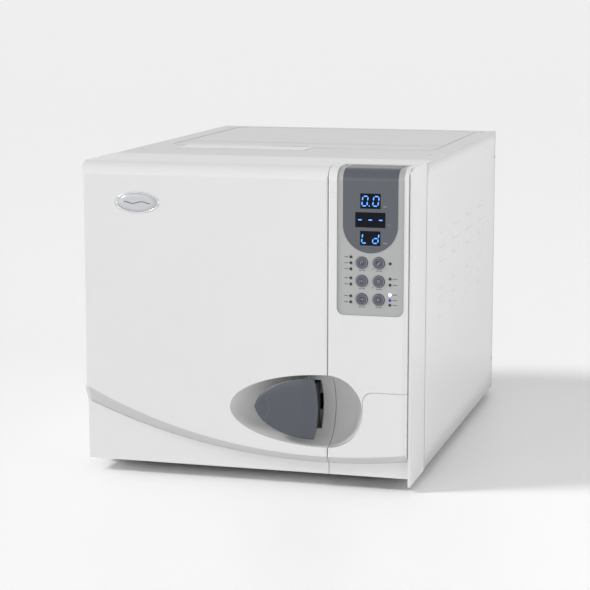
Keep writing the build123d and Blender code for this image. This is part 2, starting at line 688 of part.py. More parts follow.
# ---------------------------------------------------------------- door
DOOR_RADII = (2.5, 1.0, 12.0, 5.0)
LINER_Y = (DOOR_BACK_Y - 3.0, DOOR_BACK_Y)
BRIDGE_Y = (FRONT_Y + 38.5, FRONT_Y + 42.5)
PLATE_R = 137.0
PLATE_Y = (DOOR_BACK_Y - 10.0, DOOR_BACK_Y - 2.5)
ROOT_X = (HANDLE_X - 14.0, HANDLE_X + 14.0)
HOOK_X = (HANDLE_X + 2.0, HANDLE_X + 13.0)
HOOK_Z = (102.0, 118.0)
HOOK_TIP_Y = DOOR_BACK_Y + 17.5
BADGE = (-153.0, 389.0, 65.0, 29.0)

door_back = front_body(DOOR_X, DOOR_RADII, SHELL, DOOR_BACK_Y + 1)
with BuildPart() as door_cavity:
    add(door_back)
    add(swoosh_inner, mode=Mode.SUBTRACT)
    add(bowl_wall, mode=Mode.SUBTRACT)


def hinge_notches(margin):
    """Cuts room for the fixed hinge lugs out of the open part, over the whole swing."""
    for level in HINGE_LEVELS:
        half = HINGE_LUG + margin
        block(
            (-HALF_W - 1, HINGE_X + HINGE_BARREL_R + 1.5),
            (HINGE_Y - 15.5, DOOR_BACK_Y + 2),
            (level - half, level + half),
            mode=Mode.SUBTRACT,
        )


# bosses for the handle shaft above and below the scoop
with BuildPart() as shaft_bosses:
    for low, high in ((HANDLE_Z - 52, HANDLE_Z - 36), (HANDLE_Z + 36, HANDLE_Z + 52)):
        block((HANDLE_X - 8, HANDLE_X + 8), (HANDLE_Y - 8, HANDLE_Y + 8), (low, high))
    add(bowl_body(1.0), mode=Mode.SUBTRACT)

with BuildPart() as door_cover:
    add(front_body(DOOR_X, DOOR_RADII, 0))
    add(swoosh_outer, mode=Mode.SUBTRACT)
    add(bowl_hole, mode=Mode.SUBTRACT)
    add(door_cavity.part, mode=Mode.SUBTRACT)
    add(shaft_bosses.part)
    rod(HANDLE_PIN_R + FIT, (HANDLE_X, HANDLE_Y, HANDLE_Z - 50), 100, UP, mode=Mode.SUBTRACT)
    block((60, 102), (FRONT_Y + 20, DOOR_BACK_Y), (HANDLE_Z - 35, HANDLE_Z + 35), mode=Mode.SUBTRACT)
    for x, z in ((-190, 160), (-190, 400), (90, 400), (90, 190)):
        rod(5.0, (x, FRONT_Y + 2, z), BRIDGE_Y[0] - FRONT_Y - 2, BACK)
    with BuildSketch(Plane.XZ.offset(-FRONT_Y + 1)):
        with Locations(BADGE[:2]):
            Ellipse(BADGE[2] / 2 + 0.3, BADGE[3] / 2 + 0.3)
    extrude(amount=-2, mode=Mode.SUBTRACT)
    hinge_notches(0.8)
save(door_cover, "door_cover")

with BuildPart() as door_badge:
    with BuildSketch(Plane.XZ.offset(-FRONT_Y - 1)):
        with Locations(BADGE[:2]):
            Ellipse(BADGE[2] / 2, BADGE[3] / 2)
    extrude(amount=1.4)
    chamfer(door_badge.faces().sort_by(Axis.Y)[0].edges(), 0.4)
save(door_badge, "door_badge")

with BuildPart() as door_liner:
    add(front_body(DOOR_X, DOOR_RADII, SHELL + 0.2))
    block((-HALF_W, HALF_W), (FRONT_Y - 5, LINER_Y[0]), (0, HEIGHT), mode=Mode.SUBTRACT)
    rod(PLATE_R + 2.5, (CHAMBER_X, LINER_Y[0] - 1, CHAMBER_Z), 6, BACK, mode=Mode.SUBTRACT)
    block((50, 104), (LINER_Y[0] - 1, LINER_Y[1] + 1), (HOOK_Z[0] - 4, HOOK_Z[1] + 4), mode=Mode.SUBTRACT)
    hinge_notches(0.8)
save(door_liner, "door_liner")

BRIDGE_WINDOWS = ((-160, 240, 60, 200), (50, 290, 50, 160), (-60, 372, 120, 40), (-85, 100, 130, 40))
with BuildPart() as door_bridge:
    block((-212.5, 100), BRIDGE_Y, (62, 415))
    block((10, 101), (BRIDGE_Y[0] - 1, BRIDGE_Y[1] + 1), (61, 164), mode=Mode.SUBTRACT)
    rod(30, (CHAMBER_X, BRIDGE_Y[0], CHAMBER_Z), BRIDGE_Y[1] - BRIDGE_Y[0] + 3, BACK)
    for x, z, wide, high in BRIDGE_WINDOWS:
        with BuildSketch(Plane.XZ.offset(-BRIDGE_Y[1] - 1)):
            with Locations((x, z)):
                RectangleRounded(wide, high, 12)
        extrude(amount=8, mode=Mode.SUBTRACT)
    for level in HINGE_LEVELS:
        for side in (-1, 1):
            near = level + side * (HINGE_LUG + 0.4)
            far = near + side * HINGE_BARREL
            low, high = sorted((near, far))
            rod(HINGE_BARREL_R, (HINGE_X, HINGE_Y, low), HINGE_BARREL, UP)
            block((HINGE_X, -210), (BRIDGE_Y[0], BRIDGE_Y[1]), (low, high))
            rod(HINGE_PIN_R + FIT, (HINGE_X, HINGE_Y, low - 1), HINGE_BARREL + 2, UP, mode=Mode.SUBTRACT)
    rod(6.0, (CHAMBER_X, BRIDGE_Y[0] - 1, CHAMBER_Z), 12, BACK, mode=Mode.SUBTRACT)
save(door_bridge, "door_bridge")

with BuildPart() as door_plate:
    with BuildSketch(Plane.XY.offset(CHAMBER_Z)):
        with BuildLine():
            Polyline(
                (CHAMBER_X + 6, BRIDGE_Y[1] + 3),
                (CHAMBER_X + 26, BRIDGE_Y[1] + 3),
                (CHAMBER_X + 30, PLATE_Y[0]),
                (CHAMBER_X + PLATE_R - 2, PLATE_Y[0]),
                (CHAMBER_X + PLATE_R, PLATE_Y[0] + 2),
                (CHAMBER_X + PLATE_R, PLATE_Y[1]),
                (CHAMBER_X + 116, PLATE_Y[1]),
                (CHAMBER_X + 108, PLATE_Y[1] - 3),
                (CHAMBER_X + 26, PLATE_Y[1] - 3),
                (CHAMBER_X + 20, PLATE_Y[1]),
                (CHAMBER_X + 6, PLATE_Y[1]),
                close=True,
            )
        make_face()
    revolve(axis=Axis((CHAMBER_X, 0, CHAMBER_Z), BACK))
    # stud through the bridge, with its nut behind
    rod(6.0, (CHAMBER_X, BRIDGE_Y[0] - 3, CHAMBER_Z), PLATE_Y[1] - BRIDGE_Y[0] + 4, BACK)
    with BuildSketch(Plane(origin=(CHAMBER_X, BRIDGE_Y[0] - 9, CHAMBER_Z), z_dir=BACK)):
        RegularPolygon(11, 6)
    extrude(amount=9)
save(door_plate, "door_plate")

with BuildPart() as door_seal:
    ring(134.0, 124.5, (CHAMBER_X, PLATE_Y[1], CHAMBER_Z), MOUTH_Y - CLEAR - PLATE_Y[1], BACK)
    chamfer(door_seal.faces().sort_by(Axis.Y)[-1].edges(), 1.2)
save(door_seal, "door_seal")

# ---------------------------------------------------------------- handle and latch
HANDLE_TIP_X = 14.6
HANDLE_LONG = 85.0
HANDLE_BULGE = 6.0
HANDLE_FRONT = FRONT_Y - HANDLE_PROUD
with BuildPart() as door_handle:
    with BuildSketch(Plane.XZ.offset(-HANDLE_FRONT)):
        with BuildLine():
            shares = [i / 5 for i in range(-5, 6)]
            edge = [(HANDLE_TIP_X + HANDLE_LONG * abs(v) ** 2.1, HANDLE_Z + HANDLE_HALF * v) for v in shares]
            Spline(*edge)
            ThreePointArc(edge[-1], (edge[0][0] + HANDLE_BULGE, HANDLE_Z), edge[0])
        make_face()
    extrude(amount=-8.0)
    fillet(door_handle.faces().sort_by(Axis.Y)[0].edges(), 2.0)
save(door_handle, "door_handle")

with BuildPart() as handle_rocker:
    block(ROOT_X, (HANDLE_FRONT + 8, HANDLE_Y + 17), (HANDLE_Z - 32, HANDLE_Z + 32))
    fillet(handle_rocker.edges().filter_by(Axis.Z), 2.0)
    rod(HANDLE_PIN_R + FIT, (HANDLE_X, HANDLE_Y, HANDLE_Z - 40), 80, UP, mode=Mode.SUBTRACT)
    # hook arm that reaches through the back of the door
    block(HOOK_X, (HANDLE_Y + 16, HOOK_TIP_Y), HOOK_Z)
    block((HOOK_X[1], HOOK_X[1] + 4), (HOOK_TIP_Y - 4, HOOK_TIP_Y), HOOK_Z)
save(handle_rocker, "handle_rocker")

with BuildPart() as handle_shaft:
    rod(HANDLE_PIN_R, (HANDLE_X, HANDLE_Y, HANDLE_Z - 49.5), 99, UP)
save(handle_shaft, "handle_shaft")

FRAME_FACE = FRAME_Y[0]
with BuildPart() as hinge_brackets:
    for level in HINGE_LEVELS:
        block((-231.5, -205), (FRAME_FACE - 3, FRAME_FACE), (level - 30, level + 30))
        lug_x = (HINGE_X - HINGE_BARREL_R, HINGE_X + HINGE_BARREL_R)
        block(lug_x, (HINGE_Y, FRAME_FACE - 3), (level - HINGE_LUG, level + HINGE_LUG))
        rod(HINGE_BARREL_R, (HINGE_X, HINGE_Y, level - HINGE_LUG), 2 * HINGE_LUG, UP)
        rod(HINGE_PIN_R, (HINGE_X, HINGE_Y, level - HINGE_LUG - 1), 2 * HINGE_LUG + 2, UP, mode=Mode.SUBTRACT)
save(hinge_brackets, "hinge_brackets")

with BuildPart() as hinge_pins:
    reach = HINGE_LUG + 0.4 + HINGE_BARREL
    for level in HINGE_LEVELS:
        rod(HINGE_PIN_R, (HINGE_X, HINGE_Y, level - reach), 2 * reach, UP)
save(hinge_pins, "hinge_pins")

KEEPER_X = 105.5
KEEPER_Y = HOOK_TIP_Y - 7.5
with BuildPart() as latch_keeper:
    block((98, 128), (FRAME_FACE - 3, FRAME_FACE), (94, 126))
    for low in (95.0, 121.0):
        block((KEEPER_X - 3, KEEPER_X + 7), (KEEPER_Y, FRAME_FACE - 3), (low, low + 4))
        rod(3.0, (KEEPER_X, KEEPER_Y, low), 4, UP)
    rod(3.0, (KEEPER_X, KEEPER_Y, 95), 30, UP)
save(latch_keeper, "latch_keeper")

PLUNGER = (77.0, HOOK_TIP_Y - 5.0)
with BuildPart() as door_lock_unit:
    block((PLUNGER[0] - 9, PLUNGER[0] + 9), (PLUNGER[1] - 9, PLUNGER[1] + 10), (127, 157))
    block((PLUNGER[0] - 9, PLUNGER[0] + 9), (PLUNGER[1] + 10, FRAME_FACE), (153, 157))
    rod(3.3, (*PLUNGER, 126), 26, UP, mode=Mode.SUBTRACT)
    # switch that feels the closed door
    block((98, 112), (FRAME_FACE - 22, FRAME_FACE), (60, 82))
    rod(2.0, (105, BEZEL_Y[0] + SHELL + 1, 71), FRAME_FACE - 22 - BEZEL_Y[0] - SHELL - 1, BACK)
save(door_lock_unit, "door_lock_unit")

with BuildPart() as lock_plunger:
    rod(3.0, (*PLUNGER, 126.8), 22, UP)
    chamfer(lock_plunger.faces().sort_by(Axis.Z)[0].edges(), 0.8)
save(lock_plunger, "lock_plunger")

# ---------------------------------------------------------------- chamber
COLLAR = FRAME_FACE - MOUTH_Y
HEAD = 32.0


def dome(radius, rise, crown):
    """The arc of a dished end from its crown on the axis to its rim, as end, middle and start points."""
    ball = (radius**2 + rise**2) / (2 * rise)
    middle = radius / 2
    sag = ball - math.sqrt(ball**2 - middle**2)
    return (CHAMBER_X, crown), (CHAMBER_X + middle, crown - sag), (CHAMBER_X + radius, crown - rise)


with BuildPart() as chamber_vessel:
    outside = dome(VESSEL_R, HEAD, VESSEL_END + CHAMBER_WALL)
    inside = dome(CHAMBER_R, HEAD, VESSEL_END)
    with BuildSketch(Plane.XY.offset(CHAMBER_Z)):
        with BuildLine():
            Line(inside[0], outside[0])
            ThreePointArc(*outside)
            Polyline(outside[2], (CHAMBER_X + VESSEL_R, MOUTH_Y), (CHAMBER_X + CHAMBER_R, MOUTH_Y), inside[2])
            ThreePointArc(*inside)
        make_face()
    revolve(axis=Axis((CHAMBER_X, 0, CHAMBER_Z), BACK))
    # mouth flange, collar and bolting rim, welded on
    ring(146, VESSEL_R - 0.5, (CHAMBER_X, MOUTH_Y, CHAMBER_Z), 12, BACK)
    ring(141, 136, (CHAMBER_X, MOUTH_Y + 12, CHAMBER_Z), COLLAR - 12, BACK)
    ring(148, 136, (CHAMBER_X, MOUTH_Y + COLLAR - 4, CHAMBER_Z), 4, BACK)
save(chamber_vessel, "chamber_vessel")

BAND_STARTS = (70.0, 190.0, 310.0)
with BuildPart() as band_heaters:
    for start in BAND_STARTS:
        ring(VESSEL_R + 3, VESSEL_R, (CHAMBER_X, MOUTH_Y + start, CHAMBER_Z), 60, BACK)
save(band_heaters, "band_heaters")

with BuildPart() as insulation_jacket:
    ring(JACKET_R, VESSEL_R + 3.2, (CHAMBER_X, FRAME_Y[1] + 1, CHAMBER_Z), 372, BACK)
save(insulation_jacket, "insulation_jacket")

SADDLE_Y = FRAME_Y[1] + 376.0
TANK_X = (-200.0, 60.0)
TANK_Y = (SEAM_Y + 90.0, SEAM_Y + 470.0)
TANK_Z = (394.0, 436.0)
with BuildPart() as inner_brackets:
    block((CHAMBER_X - 100, CHAMBER_X + 100), (SADDLE_Y, SADDLE_Y + 3), (TRAY_TOP, CHAMBER_Z))
    block((CHAMBER_X - 100, CHAMBER_X + 100), (SADDLE_Y, SADDLE_Y + 25), (TRAY_TOP, TRAY_TOP + 3))
    rod(VESSEL_R + CLEAR / 2, (CHAMBER_X, SADDLE_Y - 1, CHAMBER_Z), 40, BACK, mode=Mode.SUBTRACT)
    with Locations((CHAMBER_X, SADDLE_Y, 62)):
        Box(110, 20, 50, mode=Mode.SUBTRACT)
    # straps that the water tank rests on
    for y in (TANK_Y[0] + 20, TANK_Y[1] - 45):
        block((-HALF_W + SHEET + CLEAR, HALF_W - SHEET - CLEAR), (y, y + 25), (TANK_Z[0] - 1.5, TANK_Z[0]))
save(inner_brackets, "inner_brackets")

RACK_HALF = 92.0
RACK_FOOT = CHAMBER_Z - math.sqrt((CHAMBER_R - 0.1) ** 2 - RACK_HALF**2)
RACK_TOP = CHAMBER_Z + 70.0
RACK_Y = (MOUTH_Y + 20.0, MOUTH_Y + 400.0)
TRAY_LEVELS = (CHAMBER_Z - 60.0, CHAMBER_Z - 12.0, CHAMBER_Z + 36.0)
with BuildPart() as tray_rack:
    for side in (-1, 1):
        out = CHAMBER_X + side * RACK_HALF
        wall = sorted((out, out - side * 1.5))
        for y in (RACK_Y[0], (RACK_Y[0] + RACK_Y[1]) / 2 - 8, RACK_Y[1] - 16):
            block(wall, (y, y + 16), (RACK_FOOT, RACK_TOP))
        for low in (RACK_FOOT, RACK_TOP - 8):
            block(wall, RACK_Y, (low, low + 8))
        for level in TRAY_LEVELS:
            block(sorted((out, out - side * 8)), RACK_Y, (level - 1.5, level))
    for y in (RACK_Y[0], RACK_Y[1] - 8):
        for z in (RACK_FOOT + 2, RACK_TOP - 2):
            block((CHAMBER_X - RACK_HALF, CHAMBER_X + RACK_HALF), (y, y + 8), (z, z + 2))
save(tray_rack, "tray_rack")

with BuildPart() as trays:
    half = RACK_HALF - 3.0
    for level in TRAY_LEVELS:
        block((CHAMBER_X - half, CHAMBER_X + half), (RACK_Y[0] + 4, RACK_Y[1] - 4), (level, level + 14))
        block(
            (CHAMBER_X - half + 1, CHAMBER_X + half - 1),
            (RACK_Y[0] + 5, RACK_Y[1] - 5),
            (level + 1, level + 20),
            mode=Mode.SUBTRACT,
        )
        with Locations((CHAMBER_X, (RACK_Y[0] + RACK_Y[1]) / 2, level)):
            with GridLocations(22, 30, 7, 11):
                Cylinder(4, 6, mode=Mode.SUBTRACT)
save(trays, "trays")

# ---------------------------------------------------------------- plant inside the cabinet
NECK_X = (-150.0, -4.0)
NECK_Y = (LID_Y[0] + 12.0, LID_Y[1] - 12.0)
with BuildPart() as water_tank:
    block(TANK_X, TANK_Y, TANK_Z)
    block(
        (TANK_X[0] + 3, TANK_X[1] - 3),
        (TANK_Y[0] + 3, TANK_Y[1] - 3),
        (TANK_Z[0] + 3, TANK_Z[1] - 3),
        mode=Mode.SUBTRACT,
    )
    block((NECK_X[0] - 2, NECK_X[1] + 2), (NECK_Y[0] - 2, NECK_Y[1] + 2), (TANK_Z[1], COVER_Z[0]))
    block(NECK_X, NECK_Y, (TANK_Z[1] - 4, HEIGHT), mode=Mode.SUBTRACT)
save(water_tank, "water_tank")

GENERATOR = (168.0, SEAM_Y + 90.0)
with BuildPart() as steam_generator:
    rod(42, (*GENERATOR, 30), 150, UP)
    rod(48, (*GENERATOR, 30), 6, UP)
    rod(48, (*GENERATOR, 174), 6, UP)
    with Locations((*GENERATOR, TRAY_TOP + 9)):
        with PolarLocations(38, 4, start_angle=45):
            Cylinder(3, 18)
    rod(8, (*GENERATOR, 180), 18, UP)
    # safety valve with its pull ring
    rod(7, (GENERATOR[0] + 25, GENERATOR[1], 180), 12, UP)
    rod(10, (GENERATOR[0] + 25, GENERATOR[1], 192), 22, UP)
    with Locations(Plane(origin=(GENERATOR[0] + 25, GENERATOR[1], 222), z_dir=BACK)):
        Torus(9, 1.2)
    rod(3, (GENERATOR[0] + 25, GENERATOR[1], 212), 4, UP)
save(steam_generator, "steam_generator")

PUMP = (165.0, SEAM_Y + 290.0)
with BuildPart() as vacuum_pump:
    rod(36, (PUMP[0], PUMP[1] - 60, 62), 110, BACK)
    block((PUMP[0] - 34, PUMP[0] + 34), (PUMP[1] + 50, PUMP[1] + 96), (26, 118))
    block((PUMP[0] - 30, PUMP[0] + 30), (PUMP[1] - 45, PUMP[1] + 90), (TRAY_TOP, 28))
    rod(5, (PUMP[0] - 12, PUMP[1] + 74, 118), 14, UP)
    rod(5, (PUMP[0] + 12, PUMP[1] + 74, 118), 14, UP)
save(vacuum_pump, "vacuum_pump")

with BuildPart() as valve_manifold:
    block((130, 206), (SEAM_Y + 150, SEAM_Y + 205), (TRAY_TOP, 44))
    for x in (146.0, 168.0, 190.0):
        rod(8.5, (x, SEAM_Y + 177, 44), 34, UP)
        block((x - 9, x + 9), (SEAM_Y + 166, SEAM_Y + 188), (50, 72))
save(valve_manifold, "valve_manifold")

with BuildPart() as water_pump:
    rod(20, (-195, SEAM_Y + 60, 40), 70, BACK)
    block((-220, -170), (SEAM_Y + 60, SEAM_Y + 80), (TRAY_TOP, 62))
    block((-214, -176), (SEAM_Y + 100, SEAM_Y + 120), (TRAY_TOP, 26))
save(water_pump, "water_pump")

CONDENSER_Y = (BACK_Y - 120.0, BACK_Y - 62.0)
with BuildPart() as condenser:
    for i in range(15):
        y = CONDENSER_Y[0] + 4 * i
        block((100, 204), (y, y + 0.8), (216, 324))
    for z in (230.0, 256.0, 284.0, 310.0):
        for x in (120.0, 152.0, 184.0):
            rod(4, (x, CONDENSER_Y[0] - 8, z), 74, BACK)
    block((98, 100), (CONDENSER_Y[0], CONDENSER_Y[1]), (216, 324))
    block((204, 206), (CONDENSER_Y[0], CONDENSER_Y[1]), (216, 324))
    block((98, 206), (CONDENSER_Y[0], CONDENSER_Y[1]), (214, 216))
    for x in (108.0, 196.0):
        block((x - 3, x + 3), (CONDENSER_Y[0] + 20, CONDENSER_Y[0] + 26), (TRAY_TOP, 214))
save(condenser, "condenser")

FAN_Y = (REAR_Y[0] - 38.0, REAR_Y[0])
with BuildPart() as fan_housing:
    block((FAN[0] - 52, FAN[0] + 52), FAN_Y, (FAN[1] - 52, FAN[1] + 52))
    rod(48, (FAN[0], FAN_Y[0] - 1, FAN[1]), 40, BACK, mode=Mode.SUBTRACT)
    rod(15, (FAN[0], FAN_Y[1] - 8, FAN[1]), 8, BACK)
    with Locations(Plane(origin=(FAN[0], FAN_Y[1] - 3, FAN[1]), z_dir=BACK)):
        with PolarLocations(32, 3):
            Box(36, 6, 5)
    rod(2.5, (FAN[0], FAN_Y[0] + 6, FAN[1]), 26, BACK)
save(fan_housing, "fan_housing")

with BuildPart() as fan_rotor:
    ring(17, 2.5 + FIT, (FAN[0], FAN_Y[0] + 4, FAN[1]), 24, BACK)
    with Locations(Plane(origin=(FAN[0], FAN_Y[0] + 16, FAN[1]), z_dir=BACK)):
        with PolarLocations(30, 7):
            Box(30, 20, 1.6, rotation=(35, 0, 0))
save(fan_rotor, "fan_rotor")

with BuildPart() as power_board:
    block((226.5, 228.1), (SEAM_Y + 200, SEAM_Y + 420), (210, 376))
    for y, z in ((210, 220), (410, 220), (210, 366), (410, 366)):
        rod(3, (228.1, SEAM_Y + y, z), HALF_W - SHEET - 228.1, RIGHT)
    block((206.5, 226.5), (SEAM_Y + 230, SEAM_Y + 285), (230, 275))
    for y in (310, 335, 360):
        rod(9, (200.5, SEAM_Y + y, 250), 26, RIGHT)
    block((212.5, 226.5), (SEAM_Y + 300, SEAM_Y + 380), (300, 312))
    block((216.5, 226.5), (SEAM_Y + 220, SEAM_Y + 400), (345, 357))
save(power_board, "power_board")

with BuildPart() as mains_inlet:
    block((INLET[0] - 24, INLET[0] + 24), (BACK_Y, BACK_Y + 3), (INLET[1] - 13, INLET[1] + 13))
    block((INLET[0] - 14, INLET[0] + 14), (BACK_Y - 24, BACK_Y), (INLET[1] - 10.2, INLET[1] + 10.2))
    block(
        (INLET[0] - 12, INLET[0] + 12),
        (BACK_Y - 15, BACK_Y + 4),
        (INLET[1] - 8, INLET[1] + 8),
        mode=Mode.SUBTRACT,
    )
    for pin_x, pin_z in ((-7, -2), (0, 3), (7, -2)):
        x, z = INLET[0] + pin_x, INLET[1] + pin_z
        block((x - 1, x + 1), (BACK_Y - 16, BACK_Y), (z - 2, z + 2))
    # two fuse holders beside it
    for x in FUSES:
        rod(6.0, (x, BACK_Y - 22, INLET[1]), 22, BACK)
        rod(8.0, (x, BACK_Y, INLET[1]), 6, BACK)
        block((x - 5, x + 5), (BACK_Y + 5, BACK_Y + 7), (INLET[1] - 0.8, INLET[1] + 0.8), mode=Mode.SUBTRACT)
save(mains_inlet, "mains_inlet")


def tube(points, radius, bend):
    """A round pipe along straight runs joined by tangent arcs."""
    with BuildPart() as pipe:
        with BuildLine() as route:
            FilletPolyline(*points, radius=bend)
        with BuildSketch(Plane(origin=route.line @ 0, z_dir=route.line % 0)):
            Circle(radius)
        sweep(path=route.line)
    return pipe.part


STEAM_RUN = (
    (GENERATOR[0], GENERATOR[1], 198),
    (GENERATOR[0], GENERATOR[1], 240),
    (130, GENERATOR[1] + 60, 240),
    (130, 120, 240),
)
VACUUM_RUN = (
    (PUMP[0] - 12, PUMP[1] + 74, 132),
    (PUMP[0] - 12, PUMP[1] + 74, 180),
    (152, 190, 180),
    (152, 190, 222),
)
with BuildPart() as pipework:
    # steam from the generator's crown towards the chamber, and the pump's line to the condenser
    add(tube(STEAM_RUN, 3, 18))
    add(tube(VACUUM_RUN, 3, 12))
save(pipework, "pipework")

with BuildPart() as cover_screws:
    for x, y in ((-217, SEAM_Y + 108), (217, SEAM_Y + 108), (-217, SEAM_Y + 560), (217, SEAM_Y + 560)):
        rod(3.2, (x, y, COVER_Z[1]), 0.8, UP)
    for side in (-1, 1):
        for y, z in ((584.0, 402.0), (584.0, 60.0)):
            start = (side * HALF_W, SEAM_Y + y, z)
            rod(3.0, start, 0.8, (side, 0, 0))
    for x in (-220.0, 220.0):
        for z in (40.0, 240.0, 425.0):
            rod(3.2, (x, BACK_Y, z), 1.6, BACK)
save(cover_screws, "cover_screws")
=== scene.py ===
import math

import bmesh
import bpy
import numpy as np
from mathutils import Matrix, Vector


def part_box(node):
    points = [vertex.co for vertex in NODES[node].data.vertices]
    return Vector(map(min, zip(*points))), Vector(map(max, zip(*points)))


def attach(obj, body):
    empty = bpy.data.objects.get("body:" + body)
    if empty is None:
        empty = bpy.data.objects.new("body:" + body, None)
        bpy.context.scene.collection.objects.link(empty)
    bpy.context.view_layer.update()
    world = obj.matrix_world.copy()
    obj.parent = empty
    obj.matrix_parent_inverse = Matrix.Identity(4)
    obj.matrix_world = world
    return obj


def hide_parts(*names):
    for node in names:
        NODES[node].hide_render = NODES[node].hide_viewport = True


# A benchtop steam autoclave in its finishes. Metres, +X right, +Y back, +Z up.
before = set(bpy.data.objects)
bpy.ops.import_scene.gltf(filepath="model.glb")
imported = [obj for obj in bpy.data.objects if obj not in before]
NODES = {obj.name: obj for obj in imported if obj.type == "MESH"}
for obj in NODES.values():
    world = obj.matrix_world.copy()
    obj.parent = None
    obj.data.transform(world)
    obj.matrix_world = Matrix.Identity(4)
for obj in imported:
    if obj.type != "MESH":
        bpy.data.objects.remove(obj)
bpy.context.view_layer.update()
MM = 0.001
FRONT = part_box("door_cover")[0][1]  # y of the door's face
SEAM = FRONT + 103 * MM  # y where the bezel ends and the sheets begin
SIDE = 235 * MM  # x of the flat side sheets
PRINT_THICK = 0.12 * MM
LEGEND_THICK = 0.06 * MM


# ---------------------------------------------------------------- shader groups
def new_group(name, inputs, outputs):
    """An empty shader node group with named sockets, and its input and output nodes."""
    group = bpy.data.node_groups.new(name, "ShaderNodeTree")
    for label, kind, value in inputs:
        socket = group.interface.new_socket(name=label, in_out="INPUT", socket_type=kind)
        socket.default_value = value
    for label, kind in outputs:
        group.interface.new_socket(name=label, in_out="OUTPUT", socket_type=kind)
    return group, group.nodes.new("NodeGroupInput"), group.nodes.new("NodeGroupOutput")


def math_node(tree, kind, a, b):
    """A math node whose inputs are numbers or other nodes' sockets."""
    node = tree.nodes.new("ShaderNodeMath")
    node.operation = kind
    for place, value in enumerate((a, b)):
        if isinstance(value, (int, float)):
            node.inputs[place].default_value = value
        else:
            tree.links.new(value, node.inputs[place])
    return node.outputs[0]


def noise_node(tree, vector, scale, detail=2.0):
    """A noise texture read at a vector, giving its factor socket."""
    node = tree.nodes.new("ShaderNodeTexNoise")
    node.inputs["Detail"].default_value = detail
    tree.links.new(vector, node.inputs["Vector"])
    if isinstance(scale, (int, float)):
        node.inputs["Scale"].default_value = scale
    else:
        tree.links.new(scale, node.inputs["Scale"])
    return node.outputs["Fac"]


def make_grain():
    """Fine grain and slow tone drift: noise at the grain scale gives the height, and slow noise shifts
    the colour and the roughness a little either way."""
    group, enter, leave = new_group(
        "surface_grain",
        (
            ("Vector", "NodeSocketVector", (0, 0, 0)),
            ("Tone", "NodeSocketColor", (0.8, 0.8, 0.8, 1)),
            ("Tone Drift", "NodeSocketFloat", 0.03),
            ("Roughness", "NodeSocketFloat", 0.4),
            ("Roughness Drift", "NodeSocketFloat", 0.06),
            ("Grain Scale", "NodeSocketFloat", 900.0),
        ),
        (("Color", "NodeSocketColor"), ("Roughness", "NodeSocketFloat"), ("Height", "NodeSocketFloat")),
    )
    grain = noise_node(group, enter.outputs["Vector"], enter.outputs["Grain Scale"])
    slow = noise_node(group, enter.outputs["Vector"], 9.0, 3.0)
    swing = math_node(group, "SUBTRACT", slow, 0.5)
    tone = math_node(group, "MULTIPLY", swing, enter.outputs["Tone Drift"])
    shade = math_node(group, "ADD", tone, 1.0)
    scaled = group.nodes.new("ShaderNodeVectorMath")
    scaled.operation = "SCALE"
    group.links.new(enter.outputs["Tone"], scaled.inputs[0])
    group.links.new(shade, scaled.inputs["Scale"])
    both = math_node(group, "ADD", swing, math_node(group, "SUBTRACT", grain, 0.5))
    change = math_node(group, "MULTIPLY", both, enter.outputs["Roughness Drift"])
    group.links.new(scaled.outputs[0], leave.inputs["Color"])
    group.links.new(math_node(group, "ADD", enter.outputs["Roughness"], change), leave.inputs["Roughness"])
    group.links.new(grain, leave.inputs["Height"])
    return group


def make_brushing():
    """Brushed or drawn metal: noise read at stretched coordinates gives lines in height, tone and
    roughness."""
    group, enter, leave = new_group(
        "brushed_lines",
        (
            ("Vector", "NodeSocketVector", (0, 0, 0)),
            ("Tone", "NodeSocketColor", (0.6, 0.6, 0.6, 1)),
            ("Roughness", "NodeSocketFloat", 0.3),
            ("Spread", "NodeSocketFloat", 0.2),
        ),
        (("Color", "NodeSocketColor"), ("Roughness", "NodeSocketFloat"), ("Height", "NodeSocketFloat")),
    )
    lines = noise_node(group, enter.outputs["Vector"], 40.0, 4.0)
    swing = math_node(group, "SUBTRACT", lines, 0.5)
    scaled = group.nodes.new("ShaderNodeVectorMath")
    scaled.operation = "SCALE"
    shade = math_node(group, "ADD", math_node(group, "MULTIPLY", swing, enter.outputs["Spread"]), 1.0)
    group.links.new(enter.outputs["Tone"], scaled.inputs[0])
    group.links.new(shade, scaled.inputs["Scale"])
    rough = math_node(group, "MULTIPLY", swing, enter.outputs["Spread"])
    group.links.new(scaled.outputs[0], leave.inputs["Color"])
    group.links.new(math_node(group, "ADD", rough, enter.outputs["Roughness"]), leave.inputs["Roughness"])
    group.links.new(lines, leave.inputs["Height"])
    return group


GRAIN = make_grain()
BRUSHING = make_brushing()


# ---------------------------------------------------------------- materials
def start_material(name):
    """A material with its Principled shader and the object coordinates."""
    material = bpy.data.materials.new(name)
    material.use_nodes = True
    tree = material.node_tree
    shader = tree.nodes["Principled BSDF"]
    coordinates = tree.nodes.new("ShaderNodeTexCoord").outputs["Object"]
    return material, tree, shader, coordinates


def place_group(tree, group, **values):
    """Places a group in a material; names use an underscore for a space, values are numbers or sockets."""
    node = tree.nodes.new("ShaderNodeGroup")
    node.node_tree = group
    for label, value in values.items():
        socket = node.inputs[label.replace("_", " ")]
        if isinstance(value, bpy.types.NodeSocket):
            tree.links.new(value, socket)
        else:
            socket.default_value = value
    return node


def bump(tree, shader, height, distance):
    """Feeds a height into the shader's normal; the distance is in metres."""
    node = tree.nodes.new("ShaderNodeBump")
    node.inputs["Distance"].default_value = distance
    tree.links.new(height, node.inputs["Height"])
    tree.links.new(node.outputs["Normal"], shader.inputs["Normal"])
    return node


def join_finish(tree, shader, node, distance):
    """Feeds a finish group's colour, roughness and height into the shader."""
    tree.links.new(node.outputs["Color"], shader.inputs["Base Color"])
    tree.links.new(node.outputs["Roughness"], shader.inputs["Roughness"])
    bump(tree, shader, node.outputs["Height"], distance)


